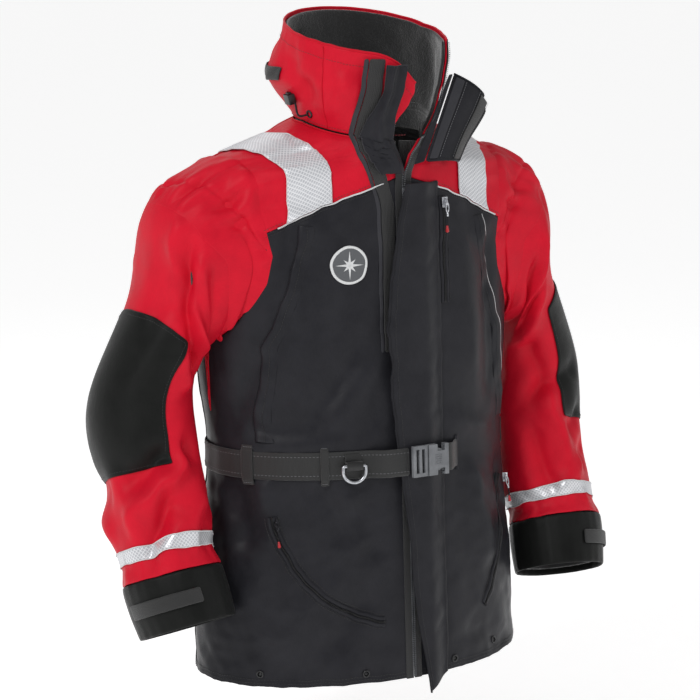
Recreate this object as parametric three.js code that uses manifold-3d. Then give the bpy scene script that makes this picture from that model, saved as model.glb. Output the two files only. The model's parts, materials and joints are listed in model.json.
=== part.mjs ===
// A men's thigh-length foul weather jacket, worn upright, in millimetres.
// Origin: the neck base between the side neck points.
// +Z is up, -Y is the wearer's front, +X the wearer's left.
import * as THREE from "three";
import { mergeVertices } from "three/addons/utils/BufferGeometryUtils.js";
import Module from "manifold-3d";

const wasm = await Module();
wasm.setup();

// ---- Driving dimensions -------------------------------------------------------------------------
const SEAM_GAP = 0.5; // between neighbouring panels of one layer
const REST_GAP = 0.4; // between a piece and what it lies on
const SHELL = { outer: 0, inner: -2 }; // offsets from the outer surface, along its normal
const FOAM = { outer: -3.4, inner: -8.8 };
const LINING = { outer: -10.4, inner: -12 };

const HEM_Z = -750;
const FRONT_TOP = { y: -121.8, slope: 35 / 678 }; // the centre front is one straight line, for the zip
const NECK = { halfWidth: 92, halfDepth: 100, dip: 20, backRise: 4 };
// Torso sections from hem to neck: height, half-width, half-depth.
const TORSO = [
  [HEM_Z, 242, 152],
  [-600, 238, 150],
  [-447, 220, 140],
  [-300, 233, 146],
  [-160, 242, 146],
  [-95, 246, 135],
  [-60, 236, 126],
  [-42, 203, 118],
  [-20, 148, 108],
  [0, NECK.halfWidth, NECK.halfDepth],
];
const TORSO_SIDES = 30;
const TORSO_ROWS = [0, 0.95, 1.87, 2.13, 3, 4, 5, 6, 7, 8, 9]; // one flat row under the belt

const ARMHOLE = { y: 8, z: -172, halfDepth: 88, halfHeight: 117, gap: 1.5 };
// Sleeve sections from armhole to cuff: the outer and the inner edge seen from the front (x, z),
// then the centre's y, the half-depth and how far the section tips forward, in degrees.
const SLEEVE = [
  { outer: [243, -57], inner: [234, -289], y: 8, depth: 88, tip: 0 },
  { outer: [290, -78], inner: [240, -296], y: 14, depth: 91, tip: 2 },
  { outer: [311, -116], inner: [244, -306], y: 20, depth: 89, tip: 4 },
  { outer: [324, -215], inner: [248, -322], y: 28, depth: 84, tip: 5 },
  { outer: [385, -362], inner: [251, -362], y: 37, depth: 80, tip: 10 },
  { outer: [380, -468], inner: [250, -462], y: 8, depth: 76, tip: 20 },
  { outer: [374, -585], inner: [241, -575], y: -42, depth: 70, tip: 22 },
  { outer: [360, -662], inner: [234, -648], y: -74, depth: 67, tip: 22 },
];
// Places along the sleeve are counted in its sections: 0 at the armhole, 7 at the cuff's edge.
const SLEEVE_SIDES = 16;
const SLEEVE_ROWS = [0, 0.35, 0.8, 1.4, 2.2, 3.15, 3.6, 4, 4.5, 4.92, 5.68, 6.09];
const SLEEVE_LINING_ROWS = [0.8, 2.2, 3.15, 4, 4.92, 5.68, 6.9];
const CUFF_ROWS = [6.1, 6.4, 7];
const SLEEVE_TAPE_ROWS = [5.68, 5.83];
const ELBOW_PATCH = { rows: [3.15, 3.6, 4, 4.5, 4.92], front: -90, back: 112.5 };
const CUFF_TAB = { rows: [6.4, 6.66], sewn: 0, free: -90 };

const COLLAR = {
  rimHalfWidth: 106,
  rimHalfDepth: 118,
  rimY: -26,
  rimZ: 128,
  rimSlope: 8,
  bulge: 9,
  nearEdgeBase: -14,
  nearEdgeRim: 6,
  farEdgeBase: 24,
  farEdgeRim: 57,
  sides: 20,
  rows: 5,
};
const OPENING = { halfGap: 3, bottomZ: -62, nearTopX: -24, farTopX: 34, neckZ: -12 };
const YOKE_SEAM = { centreZ: -66, dropPerMm: 0.33, turnX: 112, sideDropPerMm: 0.5 };
const SHOULDER_TAPE = { frontX: 108, topX: 158, halfWidth: 25 };

const STORM_FLAP = { sewnX: 56, topZ: -77, bottomZ: -772, lift: 9.6, thick: 2.6 };
const ZIP = { tapeWidth: 12, bead: 2, tapeThick: 1, bottomZ: -738, sliderZ: -88, sliderLift: 2.8 };
const LOOP_STRIP = { width: 19, bottomZ: -300, thick: 1.6 };

const BELT = { z: -447, height: 38, thick: 2, lift: 1.2, overFlap: 13, slotX: 80 };
const BUCKLE = { lift: 15.5, maleEnd: -8, joint: 16, femaleEnd: 48, height: 42, thick: 9 };
const D_RING = { x: -82, width: 36, drop: 27, wire: 2.5 };
const BADGE = { x: -80, z: -181, radius: 26, thick: 1.2 };

const COLOURS = {
  red: 0xcd203a,
  charcoal: 0x38383a,
  black: 0x191a18,
  webbing: 0x0c0e0c,
  foam: 0xb9b7ad,
  lining: 0x1b1b1d,
  silver: 0xc8c8cb,
  buckle: 0x6e7073,
  metal: 0xb4b4b6,
  white: 0xe6e6e4,
};

// ---- Small maths --------------------------------------------------------------------------------
const radians = THREE.MathUtils.degToRad;
const mix = THREE.MathUtils.lerp;
const smooth = THREE.MathUtils.smoothstep;
const pick = (list, fraction) => list[Math.round(fraction * (list.length - 1))];
const vec = (x, y, z) => new THREE.Vector3(x, y, z);

// A smooth value through a list of values, at a position counted in list entries.
function through(values, at) {
  const last = values.length - 1;
  const i = Math.min(Math.max(Math.floor(at), 0), last - 1);
  const f = at - i;
  const [b, c] = [values[i], values[i + 1]];
  const a = i > 0 ? values[i - 1] : 2 * b - c;
  const d = i + 2 <= last ? values[i + 2] : 2 * c - b;
  const bend = 2 * a - 5 * b + 4 * c - d;
  const twist = 3 * b - a - 3 * c + d;
  return b + 0.5 * f * (c - a + f * (bend + f * twist));
}

// The unit normal of a surface, from two small steps along it.
function normalOf(surface, u, v, outwardFrom) {
  const step = 1e-3;
  const here = surface(u, v);
  const alongU = surface(u + step, v).sub(surface(u - step, v));
  const alongV = surface(u, v + step).sub(surface(u, v - step));
  const normal = alongU.cross(alongV).normalize();
  return normal.dot(here.clone().sub(outwardFrom)) < 0 ? normal.negate() : normal;
}

// ---- Solids -------------------------------------------------------------------------------------
function facingOut(geometry) {
  const { array } = geometry.getAttribute("position");
  const index = geometry.index.array;
  const at = (k) => new THREE.Vector3().fromArray(array, 3 * index[k]);
  let volume = 0;
  for (let k = 0; k < index.length; k += 3) volume += at(k).dot(at(k + 1).cross(at(k + 2)));
  if (volume < 0) index.reverse();
  return geometry;
}

// A sheet with thickness: place(u, v, layer) gives its points, with u and v in 0..1 and layer 0 or 1.
function slab(columns, rows, place, wrap = false) {
  const across = wrap ? columns : columns + 1;
  const positions = [];
  for (const layer of [0, 1]) {
    for (let row = 0; row <= rows; row++) {
      for (let column = 0; column < across; column++) {
        positions.push(...place(column / columns, row / rows, layer).toArray());
      }
    }
  }
  const id = (column, row, layer) => (layer * (rows + 1) + row) * across + (column % across);
  const index = [];
  const quad = (a, b, c, d) => index.push(a, b, c, a, c, d);
  for (let row = 0; row < rows; row++) {
    for (let column = 0; column < columns; column++) {
      const [c, r] = [column + 1, row + 1];
      quad(id(column, row, 1), id(c, row, 1), id(c, r, 1), id(column, r, 1));
      quad(id(column, r, 0), id(c, r, 0), id(c, row, 0), id(column, row, 0));
    }
  }
  for (let column = 0; column < columns; column++) {
    const c = column + 1;
    quad(id(column, 0, 0), id(c, 0, 0), id(c, 0, 1), id(column, 0, 1));
    quad(id(c, rows, 0), id(column, rows, 0), id(column, rows, 1), id(c, rows, 1));
  }
  for (let row = 0; row < rows && !wrap; row++) {
    const r = row + 1;
    quad(id(0, r, 0), id(0, row, 0), id(0, row, 1), id(0, r, 1));
    quad(id(columns, row, 0), id(columns, r, 0), id(columns, r, 1), id(columns, row, 1));
  }
  const geometry = new THREE.BufferGeometry();
  geometry.setAttribute("position", new THREE.Float32BufferAttribute(positions, 3));
  geometry.setIndex(index);
  return facingOut(geometry);
}

function solid(geometry) {
  const bare = geometry.clone();
  bare.deleteAttribute("normal");
  bare.deleteAttribute("uv");
  const merged = mergeVertices(bare, 1e-4);
  return new wasm.Manifold(
    new wasm.Mesh({
      numProp: 3,
      vertProperties: merged.attributes.position.array,
      triVerts: new Uint32Array(merged.index.array),
    }),
  );
}

function geometryOf(manifold) {
  const { vertProperties, triVerts } = manifold.getMesh();
  const geometry = new THREE.BufferGeometry();
  geometry.setAttribute("position", new THREE.BufferAttribute(vertProperties, 3));
  geometry.setIndex(new THREE.BufferAttribute(triVerts, 1));
  return geometry;
}

// An outline drawn in the XZ plane and pushed along Y, from back to front.
function prismXZ(points, fromY, toY) {
  const outline = new THREE.Shape(points.map(([x, z]) => new THREE.Vector2(x, z)));
  const block = new THREE.ExtrudeGeometry(outline, { depth: toY - fromY, bevelEnabled: false });
  block.rotateX(Math.PI / 2);
  return solid(block.translate(0, toY, 0));
}

// An outline drawn in the XY plane and pushed up along Z.
function prismXY(points, fromZ, toZ) {
  const outline = new THREE.Shape(points.map(([x, y]) => new THREE.Vector2(x, y)));
  const block = new THREE.ExtrudeGeometry(outline, { depth: toZ - fromZ, bevelEnabled: false });
  return solid(block.translate(0, 0, fromZ));
}

function mesh(name, shape, colour, roughness = 0.8, metalness = 0) {
  const geometry = shape.isBufferGeometry ? shape : geometryOf(shape);
  const material = new THREE.MeshStandardMaterial({ color: colour, roughness, metalness });
  const made = new THREE.Mesh(geometry, material);
  made.name = name;
  return made;
}

// ---- The torso's surface ------------------------------------------------------------------------
const frontY = (z) => FRONT_TOP.y + FRONT_TOP.slope * z;

// turn: 0 at the centre front, growing towards the wearer's left; at: counted in TORSO sections.
function torsoAt(turn, at) {
  const [z, a, b] = [0, 1, 2].map((k) => through(TORSO.map((section) => section[k]), at));
  const ring = TORSO.length - 1 - at;
  const nearNeck = 1 - smooth(ring, 0, 3);
  const front = Math.max(0, Math.cos(turn));
  const back = Math.max(0, -Math.cos(turn));
  const lean = nearNeck * (NECK.backRise * back - NECK.dip * front);
  return vec(a * Math.sin(turn), frontY(z) + b - b * Math.cos(turn), z + lean);
}

function torso(turn, at, lift) {
  const centre = vec(0, 0, Math.min(TORSO[0][0] + 90 * at, -190));
  return torsoAt(turn, at).addScaledVector(normalOf(torsoAt, turn, at, centre), lift);
}

// The turn and section of the point of the front (or back) at a given side distance and height.
function torsoPlace(x, z, back) {
  const turnAt = (at) => {
    const halfWidth = through(TORSO.map((section) => section[1]), at);
    const turn = Math.asin(THREE.MathUtils.clamp(x / halfWidth, -1, 1));
    return back ? Math.PI - turn : turn;
  };
  let [low, high] = [0, TORSO.length - 1];
  for (let step = 0; step < 40; step++) {
    const middle = (low + high) / 2;
    if (torsoAt(turnAt(middle), middle).z < z) low = middle;
    else high = middle;
  }
  return [turnAt(low), low];
}

const onTorso = (x, z, lift, back = false) => torso(...torsoPlace(x, z, back), lift);

// A group standing on the front surface: local +Z out of the cloth, local +Y up along it.
function standOnTorso(x, z, lift) {
  const here = onTorso(x, z, lift);
  const up = onTorso(x, z + 2, lift).sub(here).normalize();
  const out = onTorso(x, z, lift + 1).sub(here).normalize();
  return standAt(here, up, out);
}

function standAt(here, up, out) {
  const group = new THREE.Group();
  const right = up.clone().cross(out).normalize();
  group.quaternion.setFromRotationMatrix(new THREE.Matrix4().makeBasis(right, up.clone(), out.clone()));
  group.position.copy(here);
  return group;
}

// ---- Torso layers -------------------------------------------------------------------------------
const torsoLayer = (layer) =>
  solid(
    slab(
      TORSO_SIDES,
      TORSO_ROWS.length - 1,
      (u, v, side) => torso(2 * Math.PI * u, pick(TORSO_ROWS, v), side ? layer.outer : layer.inner),
      true,
    ),
  );

function openingPrism() {
  const { halfGap, bottomZ, nearTopX, farTopX, neckZ } = OPENING;
  const outline = [
    [-halfGap, HEM_Z - 60],
    [halfGap, HEM_Z - 60],
    [halfGap, bottomZ],
    [farTopX, neckZ],
    [farTopX, 60],
    [nearTopX, 60],
    [nearTopX, neckZ],
    [-halfGap, bottomZ],
  ];
  return prismXZ(outline, -400, -20);
}

function armholePrism(side) {
  const outline = [];
  const corners = 28;
  for (let k = 0; k < corners; k++) {
    const turn = (2 * Math.PI * k) / corners;
    const y = ARMHOLE.y + ARMHOLE.halfDepth * Math.cos(turn);
    const z = ARMHOLE.z + ARMHOLE.halfHeight * Math.sin(turn);
    outline.push(new THREE.Vector2(y, z));
  }
  const block = new THREE.ExtrudeGeometry(new THREE.Shape(outline), { depth: 200, bevelEnabled: false });
  const toYZ = new THREE.Matrix4().makeBasis(vec(0, 1, 0), vec(0, 0, 1), vec(1, 0, 0));
  block.applyMatrix4(toYZ);
  return solid(block.translate(side > 0 ? 120 : -320, 0, 0));
}

const cutters = [openingPrism(), armholePrism(1), armholePrism(-1)];
const cutOpen = (layer) => cutters.reduce((body, cutter) => body.subtract(cutter), layer);

// The seam below the yoke falls faster beyond a turning point, towards the armhole.
function seamZ(x) {
  const { centreZ, dropPerMm, turnX, sideDropPerMm } = YOKE_SEAM;
  const beyond = Math.max(0, Math.abs(x) - turnX);
  return centreZ - dropPerMm * (Math.abs(x) - beyond) - sideDropPerMm * beyond;
}

const WIDE = 420;

// Half outlines in the XZ plane, for the wearer's left: mirrored with side = -1.
const mirrored = (points, side) => points.map(([x, z]) => [side * x, z]);

function yokeOutline(side) {
  const gap = SEAM_GAP / 2;
  const outline = [
    [gap, 60],
    [gap, seamZ(0) + gap],
    [YOKE_SEAM.turnX, seamZ(YOKE_SEAM.turnX) + gap],
    [WIDE, seamZ(WIDE) + gap],
    [WIDE, 60],
  ];
  return mirrored(outline, side);
}

function frontOutline(side) {
  const gap = SEAM_GAP / 2;
  const outline = [
    [gap, HEM_Z - 60],
    [WIDE, HEM_Z - 60],
    [WIDE, seamZ(WIDE) - gap],
    [YOKE_SEAM.turnX, seamZ(YOKE_SEAM.turnX) - gap],
    [gap, seamZ(0) - gap],
  ];
  return mirrored(outline, side);
}

const SPLIT_Y = 40; // the shoulder seam and the side seam lie in this plane
const FRONT = [-400, SPLIT_Y - SEAM_GAP / 2];
const BACK = [SPLIT_Y + SEAM_GAP / 2, 400];
const BACK_YOKE_Z = -150;

function torsoPanels(shell) {
  const group = new THREE.Group();
  const panel = (name, outline, [fromY, toY], colour) => {
    const cut = shell.intersect(prismXZ(outline, fromY, toY));
    group.add(mesh(name, cut, colour));
  };
  for (const [hand, side] of [["right", -1], ["left", 1]]) {
    panel(`front_yoke_${hand}`, yokeOutline(side), FRONT, COLOURS.red);
    panel(`front_panel_${hand}`, frontOutline(side), FRONT, COLOURS.charcoal);
  }
  const across = (low, high) => [[-WIDE, low], [WIDE, low], [WIDE, high], [-WIDE, high]];
  panel("back_yoke", across(BACK_YOKE_Z + SEAM_GAP / 2, 60), BACK, COLOURS.red);
  panel("back_panel", across(HEM_Z - 60, BACK_YOKE_Z - SEAM_GAP / 2), BACK, COLOURS.charcoal);
  return group;
}

function torsoInsides() {
  const group = new THREE.Group();
  const foam = cutOpen(torsoLayer(FOAM));
  const below = HEM_Z + 24;
  const half = (side) =>
    mirrored([[SEAM_GAP, below], [WIDE, below], [WIDE, -64], [SEAM_GAP, -64]], side);
  const whole = [[-WIDE, below], [WIDE, below], [WIDE, -64], [-WIDE, -64]];
  group.add(mesh("foam_front_right", foam.intersect(prismXZ(half(-1), ...FRONT)), COLOURS.foam));
  group.add(mesh("foam_front_left", foam.intersect(prismXZ(half(1), ...FRONT)), COLOURS.foam));
  group.add(mesh("foam_back", foam.intersect(prismXZ(whole, ...BACK)), COLOURS.foam));
  group.add(mesh("body_lining", cutOpen(torsoLayer(LINING)), COLOURS.lining));
  return group;
}

// ---- Shoulder tapes -----------------------------------------------------------------------------
function shoulderTape(side, layer) {
  const { frontX, topX, halfWidth } = SHOULDER_TAPE;
  const outline = [
    [frontX - halfWidth, -180],
    [frontX + halfWidth, -180],
    [topX + halfWidth, 0],
    [topX + halfWidth, 260],
    [topX - halfWidth, 260],
    [topX - halfWidth, 0],
  ];
  const band = prismXY(outline.map(([x, y]) => [side * x, y]), BACK_YOKE_Z, 80);
  const front = prismXZ(yokeOutline(side), -400, SPLIT_Y);
  const back = prismXZ(
    mirrored([[1, BACK_YOKE_Z], [WIDE, BACK_YOKE_Z], [WIDE, 60], [1, 60]], side),
    SPLIT_Y,
    400,
  );
  return layer.intersect(band).intersect(front.add(back));
}

// ---- Collar -------------------------------------------------------------------------------------
function collarAt(turn, height) {
  const front = Math.cos(turn);
  const base = torsoAt(turn, TORSO.length - 1);
  const x = mix(base.x, COLLAR.rimHalfWidth * Math.sin(turn), height);
  const y = mix(base.y, COLLAR.rimY - COLLAR.rimHalfDepth * front, height);
  const z = mix(base.z + 1, COLLAR.rimZ - COLLAR.rimSlope * front, height);
  const bulge = COLLAR.bulge * Math.sin(Math.PI * height) * (1 - 0.5 * Math.max(0, front));
  return vec(x + bulge * Math.sin(turn), y - bulge * front, z);
}

function collar(turn, height, lift) {
  const centre = vec(0, COLLAR.rimY, 60);
  return collarAt(turn, height).addScaledVector(normalOf(collarAt, turn, height, centre), lift);
}

// The far front edge sweeps out quickly above the neck, the near one crosses the middle at the rim.
const collarFarEdge = (height) => mix(COLLAR.farEdgeRim, COLLAR.farEdgeBase, (1 - height) ** 2);
const collarNearEdge = (height) => 360 + mix(COLLAR.nearEdgeBase, COLLAR.nearEdgeRim, height);

// Part of the collar's height, from the far front edge round the back to the near front edge.
function collarWall(bottom, top, layer) {
  const place = (u, v, side) => {
    const height = mix(bottom, top, v);
    const turn = mix(collarFarEdge(height), collarNearEdge(height), u);
    return collar(radians(turn), height, side ? layer.outer : layer.inner);
  };
  return slab(COLLAR.sides, COLLAR.rows, place);
}

function makeCollar() {
  const group = new THREE.Group();
  const shell = collarWall(0.006, 1, { outer: 0, inner: -2 });
  const lining = collarWall(0.03, 0.985, { outer: -2.6, inner: -8 });
  group.add(mesh("collar_shell", shell, COLOURS.red));
  group.add(mesh("collar_lining", lining, COLOURS.lining));
  return group;
}

// A point of the front at a side distance and height: on the torso or, above the neck, the collar.
function onFront(x, z, lift) {
  const [turn, at] = torsoPlace(x, z, false);
  if (at < TORSO.length - 1.01) return torso(turn, at, lift);
  let [low, high] = [0, 1];
  const halfWidth = (height) => collarAt(Math.PI / 2, height).x;
  const turnAt = (height) => Math.asin(THREE.MathUtils.clamp(x / halfWidth(height), -1, 1));
  for (let step = 0; step < 40; step++) {
    const middle = (low + high) / 2;
    if (collarAt(turnAt(middle), middle).z < z) low = middle;
    else high = middle;
  }
  return collar(turnAt(low), low, lift);
}

function standOnCollar(turn, height, lift) {
  const here = collar(turn, height, lift);
  const up = collar(turn, height + 0.02, lift).sub(here).normalize();
  const out = collar(turn, height, lift + 1).sub(here).normalize();
  return standAt(here, up, out);
}

// ---- Sleeves ------------------------------------------------------------------------------------
// turn: 0 at the outer edge, a quarter turn at the back; at: counted in SLEEVE sections.
function sleeveAt(turn, at) {
  const value = (pick) => through(SLEEVE.map(pick), at);
  const [outerX, outerZ] = [0, 1].map((k) => value((section) => section.outer[k]));
  const [innerX, innerZ] = [0, 1].map((k) => value((section) => section.inner[k]));
  const tip = radians(value((section) => section.tip));
  const depth = value((section) => section.depth) * Math.sin(turn);
  const across = (1 + Math.cos(turn)) / 2;
  const x = mix(innerX, outerX, across);
  const z = mix(innerZ, outerZ, across) - depth * Math.sin(tip);
  return vec(x, value((section) => section.y) + depth * Math.cos(tip), z);
}

// Near the armhole the sleeve's edge follows the torso's curved side, just outside the cut.
function sleeveSkin(turn, at) {
  const point = sleeveAt(turn, at);
  const near = 1 - smooth(at, 0, 0.8);
  if (near === 0) return point;
  const rim = sleeveAt(turn, 0);
  const [, section] = torsoPlace(1e3, rim.z, false);
  const [a, b] = [1, 2].map((k) => through(TORSO.map((row) => row[k]), section));
  const y = rim.y - (frontY(rim.z) + b);
  const side = a * Math.sqrt(Math.max(0, 1 - (y / b) ** 2));
  point.x += near * (side + ARMHOLE.gap - rim.x);
  return point;
}

const sleeveCentre = (at) => sleeveAt(0, at).add(sleeveAt(Math.PI, at)).multiplyScalar(0.5);

function sleeve(side, turn, at, lift) {
  const centre = sleeveCentre(at);
  const point = sleeveSkin(turn, at);
  point.addScaledVector(normalOf(sleeveSkin, turn, Math.max(at, 0.002), centre), lift);
  return vec(side * point.x, point.y, point.z);
}

function sleeveBand(side, rows, layer, turns) {
  const [from, to] = turns || [0, 360];
  const columns = Math.ceil((SLEEVE_SIDES * (to - from)) / 360);
  const place = (u, v, outside) => {
    const turn = radians(mix(from, to, u));
    return sleeve(side, turn, pick(rows, v), outside ? layer.outer : layer.inner);
  };
  return slab(columns, rows.length - 1, place, !turns);
}

function makeSleeve(hand, side) {
  const group = new THREE.Group();
  const add = (piece, shape, colour) => group.add(mesh(`${piece}_${hand}`, shape, colour));
  const { rows, front, back } = ELBOW_PATCH;
  const proud = { outer: 3, inner: 1.8 };
  add("sleeve", sleeveBand(side, SLEEVE_ROWS, { outer: 0, inner: -2 }), COLOURS.red);
  add("sleeve_lining", sleeveBand(side, SLEEVE_LINING_ROWS, { outer: -8, inner: -10.5 }), COLOURS.lining);
  add("elbow_patch", sleeveBand(side, rows, proud, [front, back]), COLOURS.black);
  add("sleeve_tape", sleeveBand(side, SLEEVE_TAPE_ROWS, { outer: 1.8, inner: 0.8 }), COLOURS.silver);
  add("cuff", sleeveBand(side, CUFF_ROWS, { outer: 1, inner: -2.2 }), COLOURS.black);
  const tab = sleeveBand(side, CUFF_TAB.rows, { outer: 4, inner: 1.8 }, [CUFF_TAB.free, CUFF_TAB.sewn]);
  add("cuff_tab", tab, COLOURS.black);
  return group;
}

// ---- Strips on the front ------------------------------------------------------------------------
// Straight lines through [z, x] points.
function lineThrough(points, z) {
  const found = points.findIndex(([top]) => top <= z);
  if (found === -1) return points.at(-1)[1];
  if (found === 0) return points[0][1];
  const [[z0, x0], [z1, x1]] = [points[found - 1], points[found]];
  return mix(x0, x1, (z - z0) / (z1 - z0));
}

// Listed from the top down.
const NEAR_EDGE = [[92, -20], [-20, -14], [-62, -0.4], [HEM_Z, -0.4]];
const FAR_EDGE = [[112, 92], [60, 84], [20, 66], [-10, 38], [-40, 10], [-62, 0.4], [HEM_Z, 0.4]];
const LOOP_EDGE = [[88, -54], [11, -60], [-36, -58], [-66, -45], [-105, -33], [HEM_Z, -33]];
const FLAP_EDGE = [[-77, -2], [-130, -16], [-285, -33], [-470, -17], [-667, 3], [-772, 21]];

// A strip down the front through a list of heights, between two side distances that vary with height.
function strip(heights, insideX, outsideX, lifts, columns = 1) {
  const place = (u, v, outside) => {
    const z = pick(heights, v);
    const x = mix(insideX(z), outsideX(z), u);
    return onFront(x, z, lifts(u, z)[outside]);
  };
  return slab(columns, heights.length - 1, place);
}

// The given number of equal steps between two heights.
const stepped = (count, top, bottom) =>
  Array.from({ length: count + 1 }, (_, k) => mix(top, bottom, k / count));

// Strips stand off where the collar meets the shoulders, which the cloth bridges.
const neckRise = (z) => mix(3.8, z > 0 ? 0.8 : 0, smooth(Math.abs(z + 30), 20, 50));

function zipHalf(edge, side, top) {
  const inside = (z) => lineThrough(edge, z);
  const outside = (z) => inside(z) + side * ZIP.tapeWidth;
  const lifts = (u, z) => {
    const under = REST_GAP + neckRise(z);
    return [under, under + (u < 0.4 ? ZIP.bead : ZIP.tapeThick)];
  };
  const upper = [top, 60, 24, 0, -20, -40, OPENING.bottomZ];
  const lower = stepped(10, OPENING.bottomZ - 12, ZIP.bottomZ);
  return strip([...upper, ...lower], inside, outside, lifts, 3);
}

const flapLift = (x) => mix(STORM_FLAP.lift, REST_GAP, smooth(x, 24, STORM_FLAP.sewnX - 4));

function stormFlap() {
  const { sewnX, topZ, bottomZ, thick } = STORM_FLAP;
  const place = (u, v, outside) => {
    const z = mix(topZ, bottomZ, v);
    const x = mix(sewnX, lineThrough(FLAP_EDGE, z), u);
    const aboveHem = Math.max(z, HEM_Z + 1);
    const point = onTorso(x, aboveHem, flapLift(x) + outside * thick);
    point.z += (z - aboveHem) * u * smooth(v, 0.9, 1); // the free corner hangs below the hem
    return point;
  };
  return slab(6, 18, place);
}

// The top of the storm flap, folded out over the wearer's left shoulder.
const FLAP_TOP = {
  sewnTop: [97, 62, 12],
  sewnBottom: [24, -50, 17],
  freeTop: [160, -84, 20],
  freeBottom: [84, -54, 9],
  out: [0.35, -0.9, 0.25], // the way the sheet faces
  bow: 9,
  sewnBow: 1.5, // the sewn edge bows out over the collar's foot
};

function flapTopPoint(u, v, lift) {
  const { sewnTop, sewnBottom, freeTop, freeBottom, out, bow, sewnBow } = FLAP_TOP;
  const corners = [
    onFront(...sewnTop),
    onTorso(...sewnBottom),
    vec(...freeTop),
    onTorso(...freeBottom),
  ];
  const sewn = corners[0].clone().lerp(corners[1], v);
  const free = corners[2].clone().lerp(corners[3], v);
  const bowed = bow * Math.sin(Math.PI * u) + sewnBow * (1 - u) * Math.sin(Math.PI * v);
  return sewn.lerp(free, u).addScaledVector(vec(...out).normalize(), lift + bowed);
}

function flapTopSheet(columns, rows, from, to, lifts) {
  const place = (u, v, outside) => flapTopPoint(mix(from, to, u), v, lifts[outside]);
  return slab(columns, rows, place);
}

// ---- Zip sliders and pulls ----------------------------------------------------------------------
function block(width, height, depth, x = 0, y = 0, z = 0) {
  return new THREE.BoxGeometry(width, height, depth).translate(x, y, z);
}

// Local frame: +Y along the zip towards its closed end, +Z out of the cloth.
function slider(name, size) {
  const outline = new THREE.Shape();
  const [w, h] = [size * 0.5, size * 0.7];
  outline.moveTo(-w, h).lineTo(w, h).lineTo(w * 0.8, -h).lineTo(-w * 0.8, -h);
  const plate = new THREE.ExtrudeGeometry(outline, { depth: size * 0.2, bevelEnabled: false });
  const rail = block(size * 0.3, size * 0.9, size * 0.22, 0, 0, size * 0.3);
  return mesh(name, solid(plate).add(solid(rail)), COLOURS.metal, 0.35, 1);
}

// Hangs from its top along -Y: a metal link, a cord and a grip.
function pull(name, size) {
  const link = solid(block(size * 0.5, size * 1.4, size * 0.16, 0, -size * 0.7, 0));
  const hole = solid(block(size * 0.2, size * 0.5, size, 0, -size * 0.95, 0));
  const cord = solid(block(size * 0.24, size * 1.3, size * 0.2, 0, -size * 1.9, 0));
  const grip = solid(new THREE.CylinderGeometry(size * 0.16, size * 0.24, size * 0.9, 8));
  const placed = geometryOf(grip).translate(0, -size * 2.8, 0);
  return mesh(name, link.subtract(hole).add(cord).add(solid(placed)), COLOURS.metal, 0.35, 1);
}

function zipFittings(name, here, up, out, size) {
  const group = standAt(here, up, out);
  group.add(slider(`${name}_slider`, size));
  const hanging = pull(`${name}_pull`, size);
  hanging.position.set(0, -size * 0.1, size * 0.66);
  group.add(hanging);
  return group;
}

// ---- Pocket zips --------------------------------------------------------------------------------
const CHEST_ZIP = { x: 64, top: -98, bottom: -240, halfWidth: 5 };

function straightZip() {
  const { x, top, bottom, halfWidth } = CHEST_ZIP;
  const lifts = (u) => [REST_GAP, REST_GAP + (u > 0.3 && u < 0.7 ? 2 : 1)];
  return strip(stepped(4, top, bottom), () => x - halfWidth, () => x + halfWidth, lifts, 4);
}

function chestZip() {
  const group = new THREE.Group();
  const { x, top, bottom } = CHEST_ZIP;
  group.add(mesh("chest_zip", straightZip(), COLOURS.black));
  const [high, low] = [onTorso(x, top - 8, 3.2), onTorso(x, bottom, 3.2)];
  const up = high.clone().sub(low).normalize();
  const out = onTorso(x, -170, 4).sub(onTorso(x, -170, 3));
  out.addScaledVector(up, -out.dot(up)).normalize();
  group.add(zipFittings("chest_zip", high, up, out, 10));
  return group;
}

// A curved zip lies on one flat circle through three points of the front.
const POCKETS = {
  right: { start: [-178, -515], middle: [-126, -622], end: [-42, -664], rise: 3.2 },
  left: { start: [190, -500], middle: [168, -592], end: [130, -669], rise: 3.2 },
};

function circleThrough(a, b, c) {
  const [ab, ac] = [b.clone().sub(a), c.clone().sub(a)];
  const axis = ab.clone().cross(ac);
  const part = (v, w) => w.clone().multiplyScalar(v.lengthSq());
  const offset = part(ac, axis.clone().cross(ab)).negate().add(part(ab, axis.clone().cross(ac)));
  const centre = a.clone().addScaledVector(offset, -1 / (2 * axis.lengthSq()));
  return { centre, axis: axis.normalize() };
}

function pocketArc({ start, middle, end, rise }) {
  const [a, b, c] = [start, middle, end].map(([x, z]) => onTorso(x, z, rise));
  const { centre, axis } = circleThrough(a, b, c);
  const [arm, last] = [a.clone().sub(centre), c.clone().sub(centre)];
  let sweep = arm.angleTo(last);
  if (arm.clone().cross(last).dot(axis) < 0) sweep = -sweep;
  const at = (turn) => centre.clone().add(arm.clone().applyAxisAngle(axis, turn));
  const along = (turn) => axis.clone().cross(arm.clone().applyAxisAngle(axis, turn)).normalize();
  return { centre, axis, sweep, at, along };
}

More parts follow.
